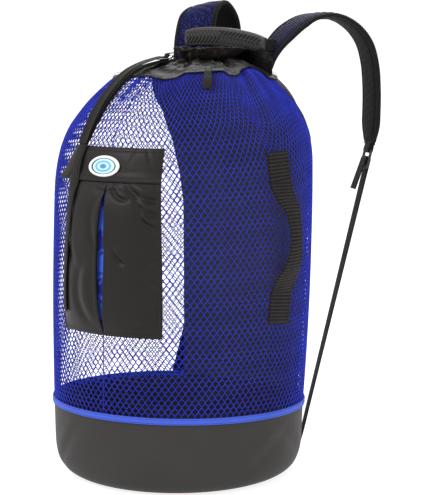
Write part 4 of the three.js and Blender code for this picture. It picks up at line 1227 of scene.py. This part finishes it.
def grip_place(u, v):
    share = 1 - 2 * v
    turn = 2 * math.pi * u
    round_end = between(1, GRIP_END, share**6)
    inward = 1 - 0.9 * blend_step(abs(share), 0.985, 1.0)
    across, up = squared(math.cos(turn)), squared(math.sin(turn))
    x = share * GRIP_LENGTH / 2
    z = up * GRIP_HEIGHT / 2 * round_end
    lift = BAR_RISE * blend_step(abs(across), 0.55, 0.8) * (bar_height(share, z) - 1)
    return Vector((
        GRIP_X + x,
        grip_y - across * (GRIP_DEPTH / 2 * inward) - math.copysign(lift, across),
        grip_z - grip_drop(share) + z * inward,
    ))


grip = laid_cloth("grip_rubber", 150, 520, grip_place, (0.08, GRIP_LENGTH))
close_up(grip)


def groove_at(spot):
    share = (spot.x - GRIP_X) / (GRIP_LENGTH / 2)
    return bar_height(share, spot.z - grip_z + grip_drop(share))


mark(grip, "groove", groove_at)
grip_finish = new_finish("moulded_rubber", {"Roughness": 0.5, "Specular IOR Level": 0.35})
grime = spots(grip_finish, 60, Detail=8)
feed(grip_finish, SURFACE, {
    "Base Color": scaled(grip_finish, GRIP_COLOR, ranged(grip_finish, grime, 0.75, 1.25)),
})
# Painted shade and light: the grooves between the bars are darkened and the bars and the rim are made paler.
paint_light_and_shade(grip_finish, "groove", 0.12, 1.35)
raised(grip_finish, grime, 0.15, 0.0006)
hand_over(grip, grip_finish, "grip", "grip_handle")

# The two shoulder straps: foam between a spacer mesh and a plain inner cloth, with the edges bound in tape
# and sewn. They are sewn to the panel's top, arch over under their own stiffness and hang down behind.
STRAP_WIDTH = 0.070
STRAP_WALL = 0.012
STRAP_REACH = 0.194
STRAP_RISE = 0.072
STRAP_ROOT_X = 0.066
STRAP_HEADING = 46
PAD_TAPER = 0.35
PAD_EDGE = 0.7
PAD_SIDE = 20
BINDING_WIDTH = 0.0052
BINDING_WALL = 0.001
BINDING_COLOR = (0.007, 0.0065, 0.0065)
RIGHT_ROUTE = (
    # run and rise as shares, heading, turn of the width, and lift of one edge in degrees
    (0.07, -0.245, 1, 34, 0),
    (0.1, 0, 1, 32, 0),
    (0.14, 0.22, 1, 28, 0),
    (0.2, 0.43, 1, 24, 0),
    (0.28, 0.64, 1, 20, 0),
    (0.38, 0.83, 1, 20, 0),
    (0.49, 0.96, 1, 26, 0),
    (0.62, 1, 1, 32, 0),
    (0.74, 0.92, 1, 35, 0),
    (0.86, 0.7, 1, 35, 0),
    (0.952, 0.36, 1, 35, 0),
    (1.002, -0.1, 1, 35, 0),
    (1.022, -0.7, 1, 35, 0),
    (1.022, -1.4, 1, 35, 0),
    (1.012, -2.02, 1, 35, 0),
)
LEFT_ROUTE = (
    (0.13, -0.27, 1, 38, 0),
    (0.08, 0, 1, 32, 0),
    (0.07, 0.5, 0.9, 20, 0),
    (0.13, 1.04, 0.5, 12, 6),
    (0.29, 1.25, 0.28, 10, 10),
    (0.44, 0.95, 0.18, 10, 6),
    (0.49, 0.4, 0.14, 8, 0),
    (0.49, -0.2, 0.13, 10, 0),
    (0.49, -0.9, 0.13, 14, 0),
    (0.52, -1.7, 0.16, 18, 0),
    (0.54, -2.5, 0.18, 20, 0),
)
RIGHT_COLOR = (0.009, 0.009, 0.036)
LEFT_COLOR = (0.0035, 0.0045, 0.036)
GLINT_COLOR = (0.045, 0.05, 0.26)
INNER_COLOR = (0.0065, 0.0055, 0.0055)


# A strap's middle line from its route, with the direction across at each station.
def strap_stations(route, hand):
    stations = []
    for run, up, heading, face, tip in route:
        turn, face, tip = (math.radians(value) for value in (STRAP_HEADING * heading, face, tip))
        reach = run * STRAP_REACH
        at = Vector((
            hand * (STRAP_ROOT_X + reach * math.sin(turn)),
            strap_root_y + reach * math.cos(turn),
            neck + up * STRAP_RISE,
        ))
        flat = Vector((math.cos(face), -hand * math.sin(face), 0)) * math.cos(tip)
        stations.append((at, flat + Vector((0, 0, math.sin(tip)))))
    return stations


def pad_half(v):
    return STRAP_WIDTH / 2 * (1 - PAD_TAPER * blend_step(v, 0.9, 1))


def pad_thick(s, v):
    edge = 1 - PAD_EDGE * min(1, abs(s)) ** 3
    channel = 1 - 0.22 * math.exp(-(((abs(s) - 0.8) / 0.05) ** 2))
    return STRAP_WALL / 2 * edge * channel * (1 - 0.5 * blend_step(v, 0.94, 1))


# A closed pad: the first half of the columns is its outer face, the second half its inner face.
def strap_pad(name, stations):
    frame_at, length = band_frame(stations)
    count = 2 * PAD_SIDE

    def pad_place(u, v):
        column = round(u * count) % count
        outer = column < PAD_SIDE
        s = (-1 if outer else 1) * (1 - 2 * (column % PAD_SIDE) / (PAD_SIDE - 1))
        at, across, out = frame_at(v * length)
        dimple = 0.0004 * math.sin(34 * v * length / STRAP_WIDTH + 5 * s) * (1 - s * s)
        lift = pad_thick(s, v) + dimple
        return at + across * (s * pad_half(v)) + out * (lift if outer else -lift)

    pad = laid_cloth(name, count, 190, pad_place, (2 * STRAP_WIDTH, length))
    close_up(pad)
    return pad


# Tape folded over the pad's edge, down one side, round the end and up the other.
def strap_binding(name, stations):
    frame_at, length = band_frame(stations)
    sides, ends = 150, 24
    border = [(-1, 0.01 + 0.99 * step / sides) for step in range(sides)]
    border += [(-1 + 2 * step / ends, 1) for step in range(ends)]
    border += [(1, 1 - 0.99 * step / sides) for step in range(sides + 1)]
    last = len(border) - 1

    def binding_place(u, v):
        s, along = border[round(v * last)]
        wrap = 2 * u - 1
        inset = BINDING_WIDTH * max(0, (abs(wrap) - 0.25) / 0.75)
        corner = blend_step(along, 0.985, 1.0) * 0.012 * abs(s) ** 4
        half = pad_half(along)
        side = s * (half - (inset if abs(s) == 1 else 0)) + (0.0006 * s if abs(s) == 1 else 0)
        run = along * length - corner - (inset if along == 1 else 0)
        thick = pad_thick(side / half, along) + 0.0003
        lift = thick * max(-1, min(1, wrap / 0.25))
        at, across, out = frame_at(max(0, run))
        return at + across * side + out * lift

    piece = laid_cloth(name, 16, last, binding_place, (2 * BINDING_WIDTH, 2 * length))
    apply_modifier(piece, "SOLIDIFY", thickness=BINDING_WALL, offset=0)
    return piece, 2 * length + STRAP_WIDTH


def strap_seam(stations):
    frame_at, length = band_frame(stations)
    lines = []
    for s in (-1, 1):
        line = []
        for step in range(150):
            v = 0.03 + 0.95 * step / 149
            at, across, out = frame_at(v * length)
            side = s * (pad_half(v) - 0.0033)
            line.append((at + across * side + out * (pad_thick(side / pad_half(v), v) + 0.0012), out))
        lines.append(line)
    return lines


# Spacer mesh: small round holes in rows, dark inside, with painted glints scattered on the yarn between them.
def spacer_mesh(name, color, glint_color, cell, amount):
    material = woven(name, color, 0.6, 0.0009, 0.2, 0.25, 0.0, 0.0, 0.07)
    inputs = {"Vector": placed(material, "UV"), "Scale": 1 / cell, "Randomness": 0.35}
    cells = add_node(material, "TexVoronoi", inputs).outputs["Distance"]
    yarn = ranged(material, cells, 0, 1, 0.3, 0.62)
    # Painted highlight: random glints on the yarn, mixed towards the bright blue glint colour.
    glints = combined(material, yarn, ranged(material, spots(material, 320), 0, amount, 0.48, 0.66))
    base = material.node_tree.nodes["Vector Math"].outputs[0]
    mixed = add_node(material, "Mix", {}, data_type="RGBA")
    feed(material, mixed.name, {"Factor": glints, 6: base, 7: (*glint_color, 1)})
    feed(material, SURFACE, {"Base Color": mixed.outputs[2]})
    raised(material, cells, 0.7, 0.0012, "Bump")
    return material


inner_cloth = woven("inner_cloth", INNER_COLOR, 0.75, 0.0012, 0.35, 0.3, 0.02, 0.0015, 0.12)
binding_finish = ribbed("binding_weave", BINDING_COLOR, 0.0016, 0.3)
outer_right = ribbed("strap_ribs", RIGHT_COLOR, 0.0036, 0.85, 0.8, "Y", 0.09)
outer_left = spacer_mesh("strap_mesh", LEFT_COLOR, GLINT_COLOR, 0.0032, 0.9)
right_stations, left_stations = strap_stations(RIGHT_ROUTE, 1), strap_stations(LEFT_ROUTE, -1)
for side, stations, outer in (("right", right_stations, outer_right), ("left", left_stations, outer_left)):
    pad = strap_pad("strap_pad_" + side, stations)
    hand_over(pad, outer, "strap", "shoulder_strap_" + side)
    pad.data.materials.append(inner_cloth)
    for face in pad.data.polygons:
        across = sum(pad.data.uv_layers[0].data[index].uv[0] for index in face.loop_indices) / face.loop_total
        face.material_index = 0 if across < STRAP_WIDTH * (1 - 0.5 / PAD_SIDE) else 1
    binding, binding_run = strap_binding("strap_binding_" + side, stations)
    hand_over(binding, binding_finish, "strap")
    sew("strap_stitches_" + side, strap_seam(stations), black_thread, "strap", 0.0028, 0.0008, 0.0042)

# The patch over the right strap's root: a doubled piece of the collar's cloth, sewn in between the panel,
# the strap and the neck, where the grip's webbing pulls. It stands up in soft folds beside the frill.
PATCH_LINE = (
    # x and y along the patch, then the heights of its foot and its upper edge
    (0.118, 0.104, 0.650, 0.682),
    (0.106, 0.107, 0.654, 0.694),
    (0.09, 0.110, 0.660, 0.703),
    (0.066, 0.119, 0.668, 0.702),
    (0.044, 0.126, 0.675, 0.705),
    (0.020, 0.130, 0.678, 0.701),
)
PATCH_WALL = 0.0015
PATCH_CUT = (0.115, 0.036)

patch_feet = soft_line([(x, y, foot) for x, y, foot, _ in PATCH_LINE], 12)
patch_tops = soft_line([(x, y, top) for x, y, _, top in PATCH_LINE], 12)


def patch_place(u, v):
    place = u * (len(patch_feet) - 1)
    index = min(len(patch_feet) - 2, int(place))
    foot = patch_feet[index].lerp(patch_feet[index + 1], place - index)
    top = patch_tops[index].lerp(patch_tops[index + 1], place - index)
    spot = foot.lerp(top, v)
    fold = crumple(spot, 0.7 * CRUMPLE * blend_step(v, 0, 0.4))
    return spot + fold + Vector((0, -0.003 * math.sin(math.pi * v), 0))


patch = laid_cloth("root_patch", 90, 40, patch_place, PATCH_CUT)
apply_modifier(patch, "SOLIDIFY", thickness=PATCH_WALL, offset=0)
hand_over(patch, crackled, "nylon")

# The buckles: moulded ladder locks with three bars and a lip for the thumb, hung from each strap's end by
# a short loop of webbing. The long webbing runs up from the boot, over the middle bar and down as a tail.
WEB_WIDTH = 0.022
WEB_WALL = 0.0015
TETHER_ANGLE = 136
TETHER_BASE = 0.026
TETHER_SEWN = 0.030
TETHER_PEEL = 0.004
TURN_STEPS = 8
SEWN_IN = 0.006
TAIL_LENGTH = 0.055
TAIL_CURL = 0.006
BUCKLE_WIDTH = 0.032
BUCKLE_HEIGHT = 0.034
BUCKLE_WALL = 0.004
BUCKLE_BAR = 0.004
BUCKLE_DROP = 0.008
BUCKLE_COLOR = (0.012, 0.0115, 0.011)
WEB_COLOR = (0.0085, 0.0075, 0.0075)

web_turn = math.hypot(BUCKLE_WALL, BUCKLE_BAR) / 2 + WEB_WALL / 2 + 0.0004


# Half a turn round a bar, from behind it over its top to the front.
def turn_round(middle, up, front, radius):
    turns = [math.pi * step / TURN_STEPS for step in range(TURN_STEPS + 1)]
    return [middle - front * radius * math.cos(turn) + up * radius * math.sin(turn) for turn in turns]


# The ladder lock's frame: a plate with two slots, whose bars are round and whose lower edge curls out.
def buckle_frame(name, middle, across, up, front):
    slot = WEB_WIDTH / 2 + 0.0008

    def buckle_place(u, v):
        x, y = (u - 0.5) * BUCKLE_WIDTH, (v - 0.5) * BUCKLE_HEIGHT
        y *= 1 - 0.1 * blend_step(abs(x), slot, BUCKLE_WIDTH / 2)
        return middle + across * x + up * y + front * 0.0022 * blend_step(-y, 0.012, 0.017)

    piece = laid_cloth(name, 16, 34, buckle_place, (BUCKLE_WIDTH, BUCKLE_HEIGHT))
    in_slots = []
    for face, x, y in face_middles(piece):
        x, y = abs(x - BUCKLE_WIDTH / 2), abs(y - BUCKLE_HEIGHT / 2)
        if x < slot and BUCKLE_BAR / 2 < y < BUCKLE_HEIGHT / 2 - BUCKLE_BAR:
            in_slots.append(face)
    with editing(piece, chosen=in_slots):
        bpy.ops.mesh.delete(type="FACE")
    apply_modifier(piece, "SOLIDIFY", thickness=BUCKLE_WALL, offset=0)
    apply_modifier(piece, "BEVEL", width=0.0011, segments=3, limit_method="ANGLE")
    return piece


moulded = new_finish("moulded_plastic", {"Base Color": (*BUCKLE_COLOR, 1)})
pits = spots(moulded, 700)
feed(moulded, SURFACE, {"Roughness": ranged(moulded, pits, 0.28, 0.5)})
raised(moulded, pits, 0.12, 0.0003)

web_finish = ribbed("webbing_ribs", WEB_COLOR, 0.0024, 0.35)
for side, hand, stations in (("right", 1, right_stations), ("left", -1, left_stations)):
    frame_at, length = band_frame(stations)
    end, end_across, _ = frame_at(length)
    turn = hand * TETHER_ANGLE
    sewn = [
        bag_point(turn, TETHER_BASE + share * TETHER_SEWN, NET_FACE + WEB_WALL + share * TETHER_PEEL)
        for share in (0, 1)
    ]
    up = end - sewn[1]
    up = (up - end_across * up.dot(end_across)).normalized()
    front = end_across.cross(up)
    middle = end - up * (BUCKLE_HEIGHT / 2 + BUCKLE_DROP)
    buckle = buckle_frame("ladder_lock_" + side, middle, end_across, up, front)
    hand_over(buckle, moulded, "buckle", "buckle_" + side)

    hook = turn_round(middle + up * (BUCKLE_HEIGHT - BUCKLE_BAR) / 2, -up, front, web_turn)
    reach = up * (BUCKLE_DROP + BUCKLE_BAR / 2 - 0.0008 + SEWN_IN)
    loop = [hook[0] + reach + front * web_turn / 3, *hook, hook[-1] + reach - front * web_turn / 3]
    hooked_line = [(at, end_across) for at in loop]
    hooked = band("hooked_web_" + side, hooked_line, WEB_WIDTH, WEB_WALL, 10, 60)
    hand_over(hooked, web_finish, "webbing", "strap_end_" + side)
    hooked_cut = (WEB_WIDTH, band_frame(hooked_line)[1])

    low = Vector((-math.cos(math.radians(turn)), -math.sin(math.radians(turn)), 0))
    over = turn_round(middle, up, front, web_turn)
    below = over[0] - up * BUCKLE_HEIGHT
    rising = [sewn[1].lerp(below, share) for share in (0.1, 0.3, 0.5, 0.7, 0.9)]
    tail = [over[-1] - up * share * TAIL_LENGTH + front * share * TAIL_CURL for share in (0.4, 1)]
    web = []
    for index, at in enumerate([*sewn, *rising, below, *over, *tail]):
        share = blend_step(index, 1, len(sewn) + len(rising))
        web.append((at, low.lerp(end_across, share).normalized()))
    tether = band("long_web_" + side, web, WEB_WIDTH, WEB_WALL, 10, 260)
    hand_over(tether, web_finish, "webbing", "tether_" + side)
    web_frame, web_length = band_frame(web)
    box = [sewn_box(web_frame, 0.003, 0.024, WEB_WIDTH / 2 - 0.003, 0.0012)]
    sew("web_stitches_" + side, box, black_thread, "webbing", 0.0028, 0.0008, 0.004)

# The grip's webbing: it comes out of each end of the moulding, turns back and is sewn to the outer face of
# the shoulder strap's root.
GRIP_WEB_WIDTH = 0.020
GRIP_WEB_OUT = 0.0016
GRIP_WEB_SEWN = 0.009
GRIP_WEB_GAP = 0.002
GRIP_WEB_DROP = 0.009

for side, hand, stations in (("right", 1, right_stations), ("left", -1, left_stations)):
    frame_at, length = band_frame(stations)
    grip_end = Vector((GRIP_X + hand * (GRIP_LENGTH / 2 + GRIP_WEB_OUT), grip_y, grip_z - grip_drop(hand)))
    foot = next(step for step in range(200) if frame_at(step * 0.002)[0].z > grip_end.z - GRIP_WEB_DROP)
    root, root_across, facing = frame_at(foot * 0.002)
    rise = facing.cross(root_across).normalized()
    beside = (grip_end - root).dot(root_across)

    def on_face(step):
        at = root + facing * ((STRAP_WALL + WEB_WALL) / 2 + GRIP_WEB_GAP)
        at += root_across * (beside - math.copysign(step * GRIP_WEB_SEWN, beside))
        return at + rise * (grip_end.z - at.z) / rise.z

    upright = Vector((0, 0, 1))
    turned = [
        (grip_end, upright),
        (on_face(0), upright.lerp(rise, 0.5)),
        (on_face(0.25), rise),
        (on_face(1), rise),
    ]
    root_web = band("grip_web_cloth_" + side, turned, GRIP_WEB_WIDTH, WEB_WALL, 10, 50)
    hand_over(root_web, web_finish, "webbing", "grip_web_" + side)
    root_cut = (GRIP_WEB_WIDTH, band_frame(turned)[1])

# The closure strap: webbing from the pocket's lower corner up over the flap to the ring at the neck. It
# passes through the ring and turns back on itself, with its end lying free on top.
CLOSURE_WIDTH = 0.021
CLOSURE_WALL = 0.0015
CLOSURE_ROOM = 0.0016
CLOSURE_FOOT = 0.290
CLOSURE_TOP = 0.9935
CLOSURE_BUNCH = 1.25
CLOSURE_STEPS = 22
CLOSURE_TAIL_STEPS = 9
CLOSURE_SLACK = 0.003
CLOSURE_LIFT = 0.002
CLOSURE_COLOR = (0.0155, 0.0128, 0.012)
RING_WIRE = 0.0036
RING_ROOM = 0.0008
CLOSURE_LINE = (
    # share of the neck's height, and x
    (0.42, -0.056),
    (0.52, -0.052),
    (0.64, -0.044),
    (0.74, -0.042),
    (0.81, -0.040),
    (0.9, -0.036),
    (0.96, -0.034),
    (1, -0.025),
)


# The angle round the bag's front where x has the given value.
def angle_at_x(x, height):
    low, high = -89.0, 89.0
    for _ in range(40):
        middle = (low + high) / 2
        if bag_point(middle, height).x < x:
            low = middle
        else:
            high = middle
    return (low + high) / 2


# How far the pocket or the flap stands out under the strap.
def front_lift(angle, height):
    grow = between(1, POCKET_TAPER, blend_step(height, POCKET_BASE, pocket_top + FLAP_HEIGHT))
    u = (angle - POCKET_ANGLE) / (2 * pocket_turn * grow) + 0.5
    v = (height - POCKET_BASE) / POCKET_HEIGHT
    w = (height - pocket_top) / FLAP_HEIGHT
    over_pocket = POCKET_FACE + CLOSURE_ROOM + POCKET_PUFF * puff(u, min(v, 1))
    on_pocket = 0 if v > 1.02 else over_pocket
    on_flap = 0 if w > 1.06 else NET_FACE + CLOSURE_ROOM + flap_lift(u, min(1, max(0, w)))
    return between(on_pocket, max(on_flap, on_pocket), blend_step(v, 0.94, 1.02))


def closure_station(height):
    x = from_table(CLOSURE_LINE, height / neck)
    ends = []
    for half in (-0.5, 0.5):
        angle = angle_at_x(x + half * CLOSURE_WIDTH, height)
        ends.append(bag_point(angle, height, front_lift(angle, height) + CLOSURE_LIFT + CLOSURE_ROOM / 2))
    return ends[0].lerp(ends[1], 0.5), (ends[1] - ends[0]).normalized()


rising = []
for step in range(CLOSURE_STEPS + 1):
    share = 1 - (1 - step / CLOSURE_STEPS) ** CLOSURE_BUNCH
    rising.append(closure_station(between(CLOSURE_FOOT, CLOSURE_TOP * neck, share)))
ring_seat, seat_across = rising[-1]
ring_along = (ring_seat - rising[-2][0]).normalized()
ring_out = seat_across.cross(ring_along).normalized()
ring_across = ring_along.cross(ring_out)
ring_turn = (RING_WIRE + CLOSURE_ROOM) / 2 + RING_ROOM
ring_bar = ring_seat + ring_out * ring_turn
ring_fold = [(at, ring_across) for at in turn_round(ring_bar, ring_along, ring_out, ring_turn)]
back = []
turned_back = list(range(CLOSURE_STEPS - 1, CLOSURE_STEPS - CLOSURE_TAIL_STEPS - 1, -1))
for order, index in enumerate(turned_back):
    at, across = rising[index]
    outward = across.cross((at - rising[index - 1][0]).normalized())
    share = order / (len(turned_back) - 1)
    stand = 2 * ring_turn + CLOSURE_SLACK * math.sin(math.pi * share) - ring_turn * share**2
    back.append((at + outward * stand, across))
closure_line = [*rising, *ring_fold[1:], *back]


def closure_shape(u, v):
    side = 2 * u - 1
    seam = 0.0005 * math.exp(-((abs(side) - 0.72) / 0.08) ** 2)
    return side * CLOSURE_WIDTH / 2, 0.0007 * (1 - side * side) - seam


closure = band("closure_webbing", closure_line, CLOSURE_WIDTH, CLOSURE_WALL, 20, 330, closure_shape)
closure_finish = ribbed("closure_ribs", CLOSURE_COLOR, 0.0042, 0.5, 0.6, "X")
hand_over(closure, closure_finish, "webbing", "closure_strap")
closure_length = band_frame(closure_line)[1]

# The ring: plated wire bent to a rounded D, with the strap folded over its straight side.
RING_WIDTH = 0.032
RING_FLAT = 0.05
RING_ROUND = 0.92
RING_TILT = 6
RING_COLOR = (0.86, 0.86, 0.85)

ring_rise = ring_along.copy()
ring_rise.rotate(Matrix.Rotation(math.radians(RING_TILT), 3, ring_across))
ring_normal = ring_across.cross(ring_rise)
ring_half = (RING_WIDTH - RING_WIRE) / 2


def ring_place(u, v):
    turn = 2 * math.pi * u
    depth = ring_half * (RING_FLAT if math.sin(turn) < 0 else RING_ROUND)
    wire = RING_WIRE / 2 * math.cos(2 * math.pi * v)
    normal = Vector((depth * math.cos(turn), ring_half * math.sin(turn))).normalized()
    spot = ring_bar + ring_across * (ring_half * math.cos(turn) + wire * normal.x)
    spot += ring_rise * (depth * math.sin(turn) + wire * normal.y)
    return spot - ring_normal * (RING_WIRE / 2 * math.sin(2 * math.pi * v))


ring = laid_cloth("plated_ring", 96, 18, ring_place, (0.1, 0.01))
close_up(ring)
plated = new_finish("plated_wire", {"Base Color": (*RING_COLOR, 1), "Metallic": 1})
feed(plated, SURFACE, {"Roughness": ranged(plated, spots(plated, 220, Detail=6), 0.08, 0.24)})
hand_over(ring, plated, "ring", "neck_ring")

# The ring's loop: narrow webbing round the far side of the ring, which ties it to the drawn neck.
RING_LOOP = 0.009
RING_LOOP_WIDTH = 0.010
RING_LOOP_WALL = 0.0014

ring_far = ring_bar + ring_rise * ring_half * RING_ROUND
loop_spread = ring_turn - CLOSURE_ROOM
loop_turn = turn_round(ring_far, -ring_rise, ring_normal, ring_turn + RING_ROOM)
loop_points = [
    loop_turn[0] + ring_rise * RING_LOOP + ring_normal * loop_spread,
    *loop_turn,
    loop_turn[-1] + ring_rise * RING_LOOP - ring_normal * loop_spread,
]
loop_line = [(at, ring_across) for at in loop_points]
ring_web = band("ring_webbing", loop_line, RING_LOOP_WIDTH, RING_LOOP_WALL, 8, 60)
hand_over(ring_web, web_finish, "webbing", "ring_loop")

visual_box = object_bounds()
boxes = {"cad": cad_box, "visual": visual_box}
